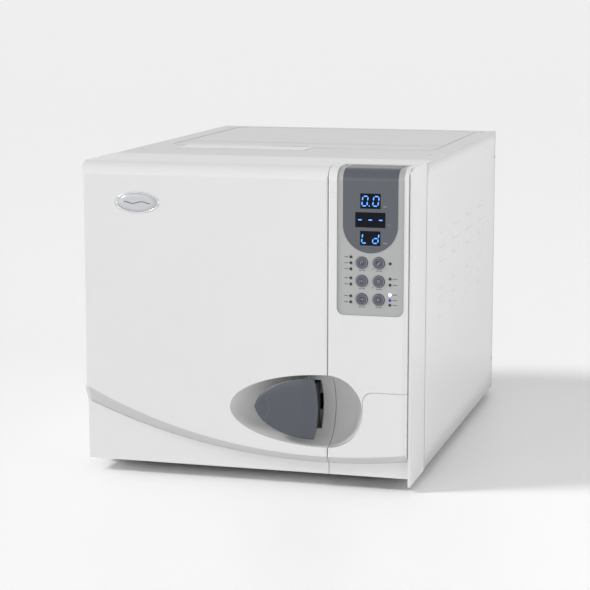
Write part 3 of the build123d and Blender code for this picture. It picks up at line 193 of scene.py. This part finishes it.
def moulded(name, tone, roughness, grain=900.0, depth=0.00002, drift=0.03, coat=0.0, specular=0.5):
    """A moulded, painted or filmed surface with fine grain."""
    material, tree, shader, coordinates = start_material(name)
    node = place_group(
        tree,
        GRAIN,
        Vector=coordinates,
        Tone=(*tone, 1),
        Tone_Drift=drift,
        Roughness=roughness,
        Grain_Scale=grain,
    )
    join_finish(tree, shader, node, depth)
    shader.inputs["Coat Weight"].default_value = coat
    shader.inputs["Coat Roughness"].default_value = 0.12
    shader.inputs["Specular IOR Level"].default_value = specular
    return material


def brushed(name, tone, roughness, stretch, spread=0.25):
    """A metal with lines drawn along the axis where the stretch is smallest."""
    material, tree, shader, coordinates = start_material(name)
    mapping = tree.nodes.new("ShaderNodeMapping")
    mapping.inputs["Scale"].default_value = stretch
    tree.links.new(coordinates, mapping.inputs["Vector"])
    node = place_group(
        tree, BRUSHING, Vector=mapping.outputs[0], Tone=(*tone, 1), Roughness=roughness, Spread=spread
    )
    join_finish(tree, shader, node, 0.00001)
    shader.inputs["Metallic"].default_value = 1.0
    return material


def insulation_finish():
    """Glass wool: mottled in tone, deep in its grain and nearly fully rough, with sheen."""
    material, tree, shader, coordinates = start_material("glass_wool")
    node = place_group(
        tree,
        GRAIN,
        Vector=coordinates,
        Tone=(0.74, 0.7, 0.56, 1),
        Tone_Drift=0.3,
        Roughness=0.92,
        Grain_Scale=260.0,
    )
    join_finish(tree, shader, node, 0.8 * MM)
    shader.inputs["Sheen Weight"].default_value = 0.4
    return material


def board_finish():
    """Circuit board: solder mask with raised lighter tracks along the joints of a brick pattern."""
    material, tree, shader, coordinates = start_material("circuit_board")
    node = place_group(
        tree, GRAIN, Vector=coordinates, Tone=(0.03, 0.16, 0.07, 1), Roughness=0.35, Grain_Scale=300.0
    )
    tracks = tree.nodes.new("ShaderNodeTexBrick")
    tracks.inputs["Scale"].default_value = 90.0
    tracks.inputs["Mortar Size"].default_value = 0.06
    tracks.inputs["Mortar"].default_value = (0.08, 0.34, 0.14, 1)
    turned = tree.nodes.new("ShaderNodeMapping")
    turned.inputs["Rotation"].default_value = (math.radians(90), 0, 0)
    tree.links.new(coordinates, turned.inputs["Vector"])
    tree.links.new(turned.outputs[0], tracks.inputs["Vector"])
    tree.links.new(node.outputs["Color"], tracks.inputs["Color1"])
    tree.links.new(node.outputs["Color"], tracks.inputs["Color2"])
    tree.links.new(tracks.outputs["Color"], shader.inputs["Base Color"])
    tree.links.new(node.outputs["Roughness"], shader.inputs["Roughness"])
    bump(tree, shader, tracks.outputs["Fac"], 0.00003)
    return material


def glow(name, tone, strength):
    """A lit lens or digit: emission that varies a little over the surface."""
    material, tree, shader, coordinates = start_material(name)
    node = place_group(
        tree, GRAIN, Vector=coordinates, Tone=(*tone, 1), Tone_Drift=0.1, Roughness=0.3, Grain_Scale=700.0
    )
    join_finish(tree, shader, node, 0.000005)
    tree.links.new(node.outputs["Color"], shader.inputs["Emission Color"])
    shader.inputs["Emission Strength"].default_value = strength
    return material


FINISHES = {
    "housing_white": moulded("moulded_white", (0.66, 0.66, 0.665), 0.36, coat=0.1),
    "sheet_white": moulded("powder_coat_white", (0.66, 0.66, 0.665), 0.34, 520.0, 0.00003),
    # Painted shade: the top cover's greyer tone stands in for the dimmer light on the machine's top.
    "cover_sheet": moulded("cover_coat_painted_shade", (0.58, 0.58, 0.585), 0.4, 520.0, 0.00003),
    "liner_grey": moulded("moulded_liner", (0.45, 0.46, 0.47), 0.5),
    "slate_handle": moulded("slate_handle", (0.064, 0.072, 0.089), 0.38, 1500.0, 0.00002),
    "dark_plastic": moulded("dark_plastic", (0.02, 0.022, 0.025), 0.5),
    "keypad_film": moulded("keypad_film", (0.37, 0.375, 0.375), 0.34, 1800.0, 0.00001),
    "slate_film": moulded("slate_film", (0.083, 0.091, 0.106), 0.33, 1800.0, 0.00001),
    "display_black": moulded("smoked_window", (0.004, 0.005, 0.009), 0.12, 400.0, 0.000002, specular=0.12),
    "led_blue": moulded("lens_unlit", (0.018, 0.022, 0.03), 0.25, 1200.0, 0.000005),
    "badge_grey": moulded("badge_satin", (0.42, 0.43, 0.45), 0.3, 2200.0, 0.00001),
    "button_grey": moulded("button_dark", (0.03, 0.036, 0.052), 0.45, 1600.0, 0.00001),
    "board_green": board_finish(),
    "zinc_steel": brushed("zinc_plate", (0.55, 0.56, 0.56), 0.38, (6, 6, 60)),
    "stainless": brushed("polished_stainless", (0.62, 0.62, 0.61), 0.24, (60, 4, 60)),
    "heater_mica": brushed("mica_band", (0.42, 0.39, 0.33), 0.42, (8, 50, 8)),
    "insulation": insulation_finish(),
    "seal_silicone": moulded("silicone_seal", (0.5, 0.05, 0.02), 0.55, 700.0, 0.00002),
    "rubber_black": moulded("foot_rubber", (0.012, 0.012, 0.012), 0.75, 500.0, 0.00006),
    "pump_dark": moulded("pump_enamel", (0.035, 0.042, 0.055), 0.35, 300.0, 0.00005),
    "brass": brushed("turned_brass", (0.62, 0.42, 0.16), 0.3, (10, 90, 10)),
    "copper": brushed("drawn_copper", (0.62, 0.28, 0.16), 0.32, (8, 60, 60)),
    "aluminium": brushed("fin_aluminium", (0.66, 0.67, 0.68), 0.34, (60, 60, 8)),
    "tank_plastic": moulded("tank_polyethylene", (0.66, 0.7, 0.72), 0.45, 240.0, 0.00003),
    "filter_white": moulded("filter_moulding", (0.7, 0.7, 0.66), 0.4),
    "knob_blue": moulded("knob_blue", (0.02, 0.09, 0.34), 0.4),
    "knob_grey": moulded("knob_grey", (0.1, 0.105, 0.115), 0.42),
    "glow_blue": glow("glow_blue", (0.09, 0.32, 1.0), 1.05),
    "glow_white": glow("glow_white", (0.5, 0.72, 1.0), 4.0),
    "lens_blue": glow("lens_blue", (0.02, 0.02, 0.4), 0.35),
    "print_grey": moulded("print_grey", (0.09, 0.1, 0.12), 0.5, 1500.0, 0.00001),
    "print_light": moulded("print_light", (0.27, 0.285, 0.315), 0.5, 1500.0, 0.00001),
    "rim_silver": brushed("rim_silver", (0.72, 0.73, 0.75), 0.22, (20, 20, 20), 0.1),
    "badge_face": moulded("badge_face", (0.5, 0.51, 0.53), 0.28, 2200.0, 0.00001, 0.08, 0.3),
    # Painted shade: a greyer tone for the shade on the swoosh step's downward slope.
    "swoosh_painted_shade": moulded("swoosh_painted_shade", (0.55, 0.55, 0.55), 0.42),
    # Painted shade: a grey tone for the shaded gaps under the louvre hoods.
    "louvre_painted_shade": moulded("louvre_painted_shade", (0.42, 0.42, 0.42), 0.6, 500.0, 0.00002),
    # Painted shadow: a dark tone for the shadow in the joint between the bezel and the side sheets.
    "seam_painted_shade": moulded("seam_painted_shade", (0.16, 0.16, 0.165), 0.7, 500.0, 0.00002),
}


def dress_nodes():
    """Gives every CAD node the finish of the record slot that its material is named for."""
    for node in NODES.values():
        for place in node.material_slots:
            slot = place.material.name.split(".")[0] if place.material else ""
            if slot in FINISHES:
                place.material = FINISHES[slot]
            else:
                raise SystemExit(f"no finish for {slot!r} on {node.name}")


dress_nodes()
NODES["top_cover"].material_slots[0].material = FINISHES["cover_sheet"]  # painted shade: a greyer tone on the top cover for the dimmer light on the top


# ---------------------------------------------------------------- shapes as surfaces
def surface(name, grids, finish, body, wall=0.0):
    """A piece from point grids of shape (copies, rows, points round, 3). Rows follow one parameter and
    the points round the other; each grid closes on itself round, and equal points are merged."""
    grids = np.asarray(grids, float)
    copies, rows, around, _ = grids.shape
    index = np.arange(copies * rows * around).reshape(copies, rows, around)
    after = np.roll(index, -1, axis=2)
    quads = np.stack([index[:, :-1], after[:, :-1], after[:, 1:], index[:, 1:]], axis=-1).reshape(-1, 4)
    return finish_mesh(name, grids.reshape(-1, 3), quads, finish, body, wall)


def sheet_surface(name, grid, finish, body, wall):
    """An open sheet from a point grid of shape (rows, columns, 3), given its wall by Solidify."""
    rows, columns, _ = grid.shape
    index = np.arange(rows * columns).reshape(rows, columns)
    quads = np.stack([index[:-1, :-1], index[:-1, 1:], index[1:, 1:], index[1:, :-1]], axis=-1)
    return finish_mesh(name, grid.reshape(-1, 3), quads.reshape(-1, 4), finish, body, wall)


def finish_mesh(name, points, quads, finish, body, wall):
    """Makes the object: merged points, outward faces, smooth shading, its wall and its body."""
    mesh = bpy.data.meshes.new(name)
    mesh.from_pydata(points, [], quads)
    shape = bmesh.new()
    shape.from_mesh(mesh)
    bmesh.ops.remove_doubles(shape, verts=shape.verts, dist=0.002 * MM)
    bmesh.ops.recalc_face_normals(shape, faces=shape.faces)
    shape.to_mesh(mesh)
    shape.free()
    mesh.materials.append(FINISHES[finish])
    mesh.polygons.foreach_set("use_smooth", np.ones(len(mesh.polygons), bool))
    piece = bpy.data.objects.new(name, mesh)
    bpy.context.scene.collection.objects.link(piece)
    if wall:
        solid = piece.modifiers.new("wall", "SOLIDIFY")
        solid.thickness = wall
        solid.offset = -1.0
    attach(piece, body)
    return piece


def plate_rows(outline, front, thick):
    """Plates facing -Y: each outline (copies, points, 2) in x and z becomes rows from the middle of the
    front, out over a small chamfer, back along the rim and in to the middle of the back."""
    centre = outline.mean(axis=1, keepdims=True)
    steps = ((0.0, 0.0), (0.9, 0.0), (1.0, 0.25), (1.0, 1.0), (0.0, 1.0))
    rows = []
    for share, depth in steps:
        flat = centre + (outline - centre) * share
        level = np.full(flat.shape[:2] + (1,), front + depth * thick)
        rows.append(np.concatenate([flat[..., :1], level, flat[..., 1:]], axis=-1))
    return np.stack(rows, axis=1)


def bars(starts, ends, half, point=1.0):
    """Outlines of straight bars between points: six corners, with ends drawn to a point."""
    starts, ends = np.asarray(starts, float), np.asarray(ends, float)
    way = ends - starts
    way /= np.linalg.norm(way, axis=1, keepdims=True)
    side = np.stack([-way[:, 1], way[:, 0]], axis=1) * half
    tip = way * half * point
    corners = (starts, starts + tip + side, ends - tip + side, ends, ends - tip - side, starts + tip - side)
    return np.stack(corners, axis=1)


def hoop_rows(centres, inner, outer, front, thick, around=48):
    """Flat rings facing -Y: a small square profile with a raised middle carried round each centre."""
    centres = np.asarray(centres, float)
    turn = np.linspace(0, 2 * np.pi, around, endpoint=False)
    middle = (inner + outer) / 2
    profile = ((inner, thick), (inner, 0.3 * thick), (middle, 0.0), (outer, 0.3 * thick), (outer, thick))
    profile += (profile[0],)
    rows = []
    for radius, depth in profile:
        x = centres[:, :1] + radius * np.cos(turn)
        z = centres[:, 1:] + radius * np.sin(turn)
        rows.append(np.stack([x, np.full_like(x, front + depth), z], axis=-1))
    return np.stack(rows, axis=1)


def dome_rows(centres, radius, front, proud, around=24):
    """Small lenses: a quarter of an ellipse turned round each centre, from its crown to its rim, and a
    flat back."""
    centres = np.asarray(centres, float)
    turn = np.linspace(0, 2 * np.pi, around, endpoint=False)
    rise = np.linspace(0, np.pi / 2, 7)
    radii = np.append(radius * np.sin(rise), 0.0)
    depths = np.append(proud * (1 - np.cos(rise)), proud)
    x = centres[:, None, :1] + radii[:, None] * np.cos(turn)
    z = centres[:, None, 1:] + radii[:, None] * np.sin(turn)
    return np.stack([x, np.broadcast_to(front + depths[:, None], x.shape), z], axis=-1)


# ---------------------------------------------------------------- door handle
def door_paddle():
    """The paddle: nested curves run from the tip to the right edge. Along s from 0 to 1 the half height
    goes as s and the x place as 1 less the root of 1 - s to the power 1.7; across v the right edge bulges
    by 1 - v squared. The face falls back as 1 less the root of 1 - v to the power 3.2 towards its edges
    and as (1 - s) squared towards its tip, and a thumb dent near the tip is part of an ellipsoid."""
    low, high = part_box("door_handle")
    bulge = 6 * MM
    long = high[0] - low[0] - bulge
    half = (high[2] - low[2]) / 2
    middle = (high[2] + low[2]) / 2
    s = np.sin(np.linspace(0, np.pi / 2, 90))[:, None]
    v = np.sin(np.linspace(-np.pi / 2, np.pi / 2, 81))[None, :]
    x = low[0] + long * (1 - np.sqrt(1 - s**1.7)) + bulge * (1 - v**2) * s
    z = middle + half * s * v
    fall = 4.5 * MM * (1 - np.sqrt(1 - 0.985 * np.abs(v) ** 3.2)) + 3.2 * MM * (1 - s) ** 2
    lip = 1.6 * MM * np.clip((s - 0.965) / 0.035, 0, 1) ** 2
    dent_x = (x - low[0] - 13 * MM) / (9.5 * MM)
    dent_z = (z - middle) / (15.5 * MM)
    inside = np.clip(1 - dent_x**2 - dent_z**2, 0, 1)
    dent = 1.7 * MM * np.sqrt(inside) * np.clip(0.55 + 0.45 * dent_x, 0.1, 1)
    y = low[1] + fall + lip + dent
    grid = np.stack(np.broadcast_arrays(x, y, z), axis=-1)
    paddle = sheet_surface("paddle", grid, "slate_handle", "handle", 3.2 * MM)
    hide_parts("door_handle")


door_paddle()


# ---------------------------------------------------------------- displays
SEGMENTS = {  # ends of each bar, in widths and heights of a digit
    "top": ((0, 1), (1, 1)),
    "middle": ((0, 0.5), (1, 0.5)),
    "bottom": ((0, 0), (1, 0)),
    "upper_left": ((0, 0.5), (0, 1)),
    "upper_right": ((1, 0.5), (1, 1)),
    "lower_left": ((0, 0), (0, 0.5)),
    "lower_right": ((1, 0), (1, 0.5)),
}
ROUND_ZERO = ("top", "bottom", "upper_left", "upper_right", "lower_left", "lower_right")
LETTER_L = ("bottom", "upper_left", "lower_left")
LETTER_D = ("middle", "bottom", "upper_right", "lower_left", "lower_right")


DIGIT = (7.2 * MM, 13.0 * MM)  # width and height
DIGIT_LEAN = 0.14
DISPLAY_ROWS = (  # level, width and the lit bars of each display
    (400.3, 28.0, (ROUND_ZERO, ROUND_ZERO)),
    (374.8, 41.5, (("middle",), ("middle",), ("middle",))),
    (349.9, 28.0, (LETTER_L, LETTER_D)),
)
POINT_LEVEL = 393.8 * MM
UNIT_MARKS = ((195.5, 393.2, 200.5, 393.2), (202.3, 368.6, 204.6, 368.6), (195.5, 343.6, 201.5, 343.6))


def digit_bars(centre, names):
    """Bar ends of one digit round its centre: each end leans by its height times the lean, and is drawn
    in along its bar by 0.12 of the digit's width."""
    ends = (np.array([SEGMENTS[name] for name in names], float) - 0.5) * DIGIT
    ends[..., 0] += ends[..., 1] * DIGIT_LEAN
    way = ends[:, 1] - ends[:, 0]
    gap = 0.12 * way * DIGIT[0] / np.linalg.norm(way, axis=1, keepdims=True)
    return ends[:, 0] + gap + centre, ends[:, 1] - gap + centre


def display_digits():
    """Lit digits in the three windows: a number, three dashes and two letters."""
    low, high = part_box("display_windows")
    centre_x = (low[0] + high[0]) / 2
    starts, ends = [], []
    for level, wide, names in DISPLAY_ROWS:
        reach = 0.27 if len(names) == 2 else 0.345
        places = np.linspace(-reach, reach, len(names))
        for place, bar_names in zip(places, names):
            start, end = digit_bars((centre_x + place * wide * MM, level * MM), bar_names)
            starts.append(start)
            ends.append(end)
    outline = bars(np.concatenate(starts), np.concatenate(ends), 0.75 * MM)
    rows = plate_rows(outline, low[1] - PRINT_THICK, PRINT_THICK)
    surface("display_digits", rows, "glow_blue", "cabinet")
    proud = 0.15 * MM
    rows = dome_rows([(centre_x - 1.6 * MM, POINT_LEVEL)], 0.8 * MM, low[1] - proud, proud)
    surface("display_point", rows, "glow_blue", "cabinet")


display_digits()


# ---------------------------------------------------------------- lenses and key prints
LEFT_LENSES = (151.3, (323.8, 315.7, 307.5, 295.1, 286.7, 270.5, 262.2))  # x and levels of a column
RIGHT_LENSES = (205.6, (316.3, 295.5, 287.2, 259.9))
LIT_LENS = (205.6, 273.8)
DEEP_LENS = (205.6, 266.4)
KEY_COLUMNS = (166.6, 190.0)
KEY_ROWS = (316.3, 291.4, 266.4)
RIGHT_LEGENDS = (295.5, 287.2, 273.8, 266.4, 259.9)
ARROWS = ((181.6, 308.4, 1), (181.6, 282.9, -1))  # x, level and whether it points up or down


def lens_caps():
    """Round caps on the indicator lights: most are dark, one is lit and one is deep blue."""
    proud = 0.7 * MM
    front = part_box("status_leds")[0][1] - 0.5 * MM
    dark = [(x, z) for x, levels in (LEFT_LENSES, RIGHT_LENSES) for z in levels]
    caps = (
        ("lenses_dark", dark, 1.8, "led_blue"),
        ("lens_lit", [LIT_LENS], 2.0, "glow_white"),
        ("lens_deep", [DEEP_LENS], 1.8, "lens_blue"),
    )
    for name, places, radius, finish in caps:
        surface(name, dome_rows(np.array(places) * MM, radius * MM, front, proud), finish, "cabinet")


def key_print(name, strokes):
    """A key's print: a rim ring, an inner ring and a plain sign of strokes, on the key that moves."""
    low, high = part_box(name)
    centre = np.array([(low[0] + high[0]) / 2, (low[2] + high[2]) / 2])
    face = low[1] - 0.1 * MM
    for part, inner, outer in (("_rim", 6.7, 7.5), ("_ring", 4.5, 5.0)):
        rows = hoop_rows([centre], inner * MM, outer * MM, face, PRINT_THICK)
        surface(name + part, rows, "print_light", name)
    ends = np.array(strokes, float) * MM + centre
    outline = bars(ends[:, 0], ends[:, 1], 0.42 * MM, 0.3)
    surface(name + "_sign", plate_rows(outline, face, PRINT_THICK), "print_light", name)


KEY_SIGNS = {
    "button_select": (((-1.6, -2.2), (-1.6, 2.0)), ((-1.6, 2.0), (1.4, 2.6)), ((1.4, 2.6), (1.4, -0.6))),
    "button_pack_plus": (
        ((-2.4, -1.6), (1.8, 2.6)),
        ((-1.2, -2.6), (2.6, 1.2)),
        ((-2.4, -1.6), (-1.2, -2.6)),
    ),
    "button_program": (((-2.2, -2.0), (-2.2, 2.0)), ((0, -2.0), (0, 2.0)), ((2.2, -2.0), (2.2, 2.0))),
    "button_dry_minus": (((-2.4, 1.6), (2.4, 1.6)), ((-2.4, 0), (2.4, 0)), ((-2.4, -1.6), (2.4, -1.6))),
    "button_test": (((-2.6, 0), (2.4, 0)), ((2.4, 0), (0.6, 1.8)), ((2.4, 0), (0.6, -1.8))),
    "button_start": (((-1.6, -1.8), (-1.6, 1.8)), ((-1.6, 1.8), (2.0, 0)), ((2.0, 0), (-1.6, -1.8))),
}


def keypad_prints():
    """Plain short bars under the keys and beside the lights stand for their legends, with two arrows."""
    film = FRONT + 2.0 * MM - LEGEND_THICK
    below = 10.6
    marks = []
    for x in KEY_COLUMNS:
        for z in KEY_ROWS:
            marks += [(x - 4.2, z - below, x - 0.5, z - below), (x + 0.6, z - below, x + 4.2, z - below)]
    marks += [(142.4, z, 147.4, z) for z in LEFT_LENSES[1]]
    marks += [(209.2, z, 215.6, z) for z in RIGHT_LEGENDS]
    marks = np.array(marks) * MM
    outline = bars(marks[:, :2], marks[:, 2:], 0.55 * MM, 0.4)
    surface("keypad_legends", plate_rows(outline, film, LEGEND_THICK), "print_grey", "cabinet")
    arrows = np.array(ARROWS)
    corner = np.array([(-1.3, -1.0), (0.0, 1.2), (1.3, -1.0)])
    shape = arrows[:, None, :2] + corner * np.stack([np.ones(2), arrows[:, 2]], axis=1)[:, None, :]
    surface("keypad_arrows", plate_rows(shape * MM, film, LEGEND_THICK), "print_grey", "cabinet")
    units = np.array(UNIT_MARKS) * MM
    outline = bars(units[:, :2], units[:, 2:], 0.5 * MM, 0.4)
    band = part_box("display_band")[0][1]
    rows = plate_rows(outline, band - LEGEND_THICK, LEGEND_THICK)
    surface("display_units", rows, "print_light", "cabinet")


lens_caps()
for key, strokes in KEY_SIGNS.items():
    key_print(key, strokes)
keypad_prints()


# ---------------------------------------------------------------- badge
def badge():
    """A satin oval with a raised silver rim and a plain wave: rings of an ellipse, each at a share of
    the badge's half width and height and at a depth, and bars along a sine."""
    low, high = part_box("door_badge")
    centre = np.array([(low[0] + high[0]) / 2, (low[2] + high[2]) / 2])
    half = np.array([(high[0] - low[0]) / 2, (high[2] - low[2]) / 2])
    turn = np.linspace(0, 2 * np.pi, 96, endpoint=False)
    profile = ((1.0, 1.4), (1.0, 0.35), (0.985, 0.05), (0.955, 0.0), (0.925, 0.12), (0.90, 0.4))
    profile += ((0.6, 0.28), (0.3, 0.22), (0.0, 0.2))
    last_of_rim = 5
    wall = 0.4 * MM
    rows = []
    for share, depth in profile:
        reach = half * share
        x = centre[0] + reach[0] * np.cos(turn)
        z = centre[1] + reach[1] * np.sin(turn)
        rows.append(np.stack([x, np.full_like(x, low[1] + depth * MM), z], axis=-1))
    rims = np.stack(rows[: last_of_rim + 1])[None]
    face = np.stack(rows[last_of_rim:])[None]
    surface("badge_rim", rims, "rim_silver", "door", wall)
    plate = surface("badge_plate", face, "badge_face", "door", wall)
    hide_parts("door_badge")
    along = np.linspace(-19, 19, 10)
    wave = np.stack([along, 1.4 * np.sin(along / 4.2)], axis=1) * MM + centre
    outline = bars(wave[:-1], wave[1:], 0.6 * MM, 0.2)
    surface("badge_wave", plate_rows(outline, low[1] + 0.1 * MM, 0.2 * MM), "print_grey", "door")


badge()


# ---------------------------------------------------------------- swoosh
UPPER_ARC = (115.0, 44.8, 772.0)  # x and level of the lowest point, and the radius
LOWER_ARC = (111.5, 34.2, 907.0)
STEP_DEPTH = 12.5  # at the middle of the front
STEP_CHANGE = 3.5  # from the middle to a side
BAND_PROUD = 0.25


def arc_level(x, arc):
    """Level of a wide arc: its lowest point plus its radius, less the root of the radius squared less
    the squared distance in x from the lowest point."""
    middle, lowest, radius = arc
    return lowest + radius - np.sqrt(radius**2 - (x - middle) ** 2)


def swoosh_band(name, reach, body):
    """Painted shade on the step's slope: a greyer band for its shade, a straight line at each x from the
    upper arc on the face to the lower arc at the depth of the step, moved out square to the slope by a
    quarter millimetre."""
    x = np.linspace(*reach, 120)[None, :]
    t = np.linspace(0.0, 1.0, 9)[:, None]
    high = arc_level(x, UPPER_ARC)
    low = arc_level(x, LOWER_ARC)
    deep = STEP_DEPTH - STEP_CHANGE * x * MM / SIDE
    slope = np.hypot(deep, high - low)
    z = high + (low - high) * t - BAND_PROUD * deep / slope
    y = FRONT / MM + deep * t - BAND_PROUD * (high - low) / slope
    grid = np.stack(np.broadcast_arrays(x, np.maximum(y, FRONT / MM + 0.05), z), axis=-1) * MM
    sheet_surface(name, grid, "swoosh_painted_shade", body, 0.2 * MM)


swoosh_band("swoosh_door", (-231.0, 118.4), "door")
swoosh_band("swoosh_flap", (120.6, 229.0), "service_flap")


# ---------------------------------------------------------------- louvred sides
LOUVRE_ENDS = np.array((152.0, 260.0, 373.0, 485.0)) * MM + SEAM  # y of each column's back end
LOUVRE_TOPS = np.array((345.0, 324.0, 303.0, 264.0, 243.0, 222.0)) * MM
LOUVRE_LONG = 55.0 * MM
LOUVRE_TALL = 11.0 * MM
LOUVRE_PROUD = 1.95 * MM


def louvred_side(name, node, side):
    """A side sheet: x is the flat sheet plus, at each louvre, a hood. Down the hood the rise goes as a
    quarter sine to the power 1.3 and falls back as a root at its lower lip; along it the rise goes as
    1 less the ninth power of the distance from its middle, which rounds its ends."""
    low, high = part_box(node)
    seam, back = low[1], high[1]
    long, tall = LOUVRE_LONG, LOUVRE_TALL
    share = np.linspace(-0.06, 1.06, 23)
    along = (LOUVRE_ENDS[:, None] - long * (1 - share)).ravel()
    y = np.unique(np.concatenate([[seam, back], np.linspace(seam + 0.02, back - 0.02, 9), along]))
    down = np.array([-0.1, 0, 0.12, 0.3, 0.5, 0.68, 0.8, 0.88, 0.93, 0.97, 1.0, 1.02, 1.1]) * tall
    levels = (LOUVRE_TOPS[:, None] - down).ravel()
    z = np.unique(np.concatenate([[low[2], high[2]], np.linspace(0.04, 0.42, 9), levels]))
    lift = np.zeros((len(z), len(y)))
    for end in LOUVRE_ENDS:
        u = np.clip((y - end + long) / long, 0, 1)
        round_ends = np.clip(1 - np.abs(2 * u - 1) ** 9, 0, 1) ** 0.8
        for top in LOUVRE_TOPS:
            w = np.clip((top - z) / tall, 0, 1.0)
            rise = np.sin(np.clip(w / 0.9, 0, 1) * np.pi / 2) ** 1.3 * np.clip((1 - w) / 0.07, 0, 1) ** 0.5
            lift += rise[:, None] * round_ends[None, :]
    x = side * (SIDE + LOUVRE_PROUD * lift)
    yy, zz = np.meshgrid(y, z)
    grid = np.stack([x, yy, zz], axis=-1)
    piece = sheet_surface(name, grid if side > 0 else grid[:, ::-1], "sheet_white", "cabinet", 1.2 * MM)
    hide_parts(node)


def side_plates(name, outline, proud, finish, side):
    """Slim plates that face a side: plate rows with x and y changed over, in the side's direction."""
    rows = plate_rows(outline, -SIDE - proud, 0.3 * MM)[..., [1, 0, 2]] * (-side, 1, 1)
    surface(name, rows, finish, "cabinet")


def louvre_gaps(name, side):
    """Painted shade: grey plates stand for the shaded gap under each hood's lip."""
    ends = np.repeat(LOUVRE_ENDS, len(LOUVRE_TOPS))
    lips = np.tile(LOUVRE_TOPS - LOUVRE_TALL - 0.3 * MM, len(LOUVRE_ENDS))
    inset = 4 * MM
    starts = np.stack([ends - LOUVRE_LONG + inset, lips], axis=1)
    outline = bars(starts, np.stack([ends - inset, lips], axis=1), 0.55 * MM, 1.5)
    side_plates(name, outline, 0.35 * MM, "louvre_painted_shade", side)


def side_seam(name, node, side):
    """Painted shadow: one dark upright plate stands for the shadow in the joint where the bezel meets a
    side sheet.
    """
    low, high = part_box(node)
    outline = bars([(low[1], low[2] + 3 * MM)], [(low[1], high[2] - 4 * MM)], 0.7 * MM, 0.5)
    side_plates(name, outline, 0.15 * MM, "seam_painted_shade", side)


side_seam("side_seam_right", "side_panel_right", 1)
side_seam("side_seam_left", "side_panel_left", -1)
louvre_gaps("louvre_gaps_right", 1)
louvre_gaps("louvre_gaps_left", -1)
louvred_side("side_sheet_right", "side_panel_right", 1)
louvred_side("side_sheet_left", "side_panel_left", -1)


# ---------------------------------------------------------------- camera, floor and lights
CAMERA_PLACE = (0.7548, -2.9141, 0.6953)
CAMERA_DOWN = 9.157  # degrees below level
CAMERA_TURN = 14.914  # degrees round from straight ahead
FLOOR_HALF = 90.0


def place_camera():
    """A long lens to the right of the front, a little above the machine."""
    data = bpy.data.cameras.new("camera")
    data.lens = 119.77
    data.sensor_width = 36.0
    camera = bpy.data.objects.new("camera", data)
    camera.location = CAMERA_PLACE
    camera.rotation_euler = (math.radians(90 - CAMERA_DOWN), 0.0, math.radians(CAMERA_TURN))
    bpy.context.scene.collection.objects.link(camera)
    bpy.context.scene.camera = camera


def hang_light(data, power, place, aim):
    """Puts a light at a place, facing a point."""
    data.energy = power
    light = bpy.data.objects.new(data.name, data)
    light.location = place
    way = np.array(aim, float) - np.array(place, float)
    flat = math.hypot(way[0], way[1])
    light.rotation_euler = (math.atan2(flat, -way[2]), 0.0, math.atan2(way[1], way[0]) - math.pi / 2)
    bpy.context.scene.collection.objects.link(light)


def soft_light(name, place, aim, size, power):
    """An area light at a place that faces a point."""
    data = bpy.data.lights.new(name, "AREA")
    data.shape = "RECTANGLE"
    data.size, data.size_y = size
    hang_light(data, power, place, aim)


def sun_light(name, place, power, spread):
    """A distant soft light that shines from a place towards the machine, alike over the whole floor."""
    data = bpy.data.lights.new(name, "SUN")
    data.angle = math.radians(spread)
    hang_light(data, power, place, (0.0, 0.0, 0.0))


def lay_floor():
    """A plain pale floor, and a room that is bright at its horizon and dimmer above."""
    mesh = bpy.data.meshes.new("floor")
    corners = [(x * FLOOR_HALF, y * FLOOR_HALF, 0) for x, y in ((-1, -1), (1, -1), (1, 1), (-1, 1))]
    mesh.from_pydata(corners, [], [(0, 1, 2, 3)])
    floor = bpy.data.objects.new("floor", mesh)
    mesh.materials.append(moulded("floor_paper", (0.93, 0.93, 0.93), 0.4, 60.0, 0.00001, 0.0))
    bpy.context.scene.collection.objects.link(floor)
    world = bpy.data.worlds.new("room")
    world.use_nodes = True
    tree = world.node_tree
    height = tree.nodes.new("ShaderNodeSeparateXYZ")
    ramp = tree.nodes.new("ShaderNodeValToRGB")
    ramp.color_ramp.elements[0].color = (1.0, 1.0, 1.0, 1)
    ramp.color_ramp.elements[1].color = (0.4, 0.4, 0.4, 1)
    ramp.color_ramp.elements[1].position = 0.75
    tree.links.new(tree.nodes.new("ShaderNodeTexCoord").outputs["Generated"], height.inputs[0])
    tree.links.new(height.outputs["Z"], ramp.inputs["Fac"])
    tree.links.new(ramp.outputs["Color"], tree.nodes["Background"].inputs["Color"])
    tree.nodes["Background"].inputs["Strength"].default_value = 1.1
    bpy.context.scene.world = world


place_camera()
lay_floor()
soft_light("key", (-1.2, -3.4, 1.3), (0.0, 0.0, 0.2), (1.6, 1.2), 11.0)
sun_light("left", (-2.5, -1.0, 2.2), 1.85, 14.0)
soft_light("fill", (2.8, -1.0, 0.7), (0.2, 0.1, 0.25), (1.8, 1.0), 24.0)
bpy.context.scene.view_settings.view_transform = "Standard"
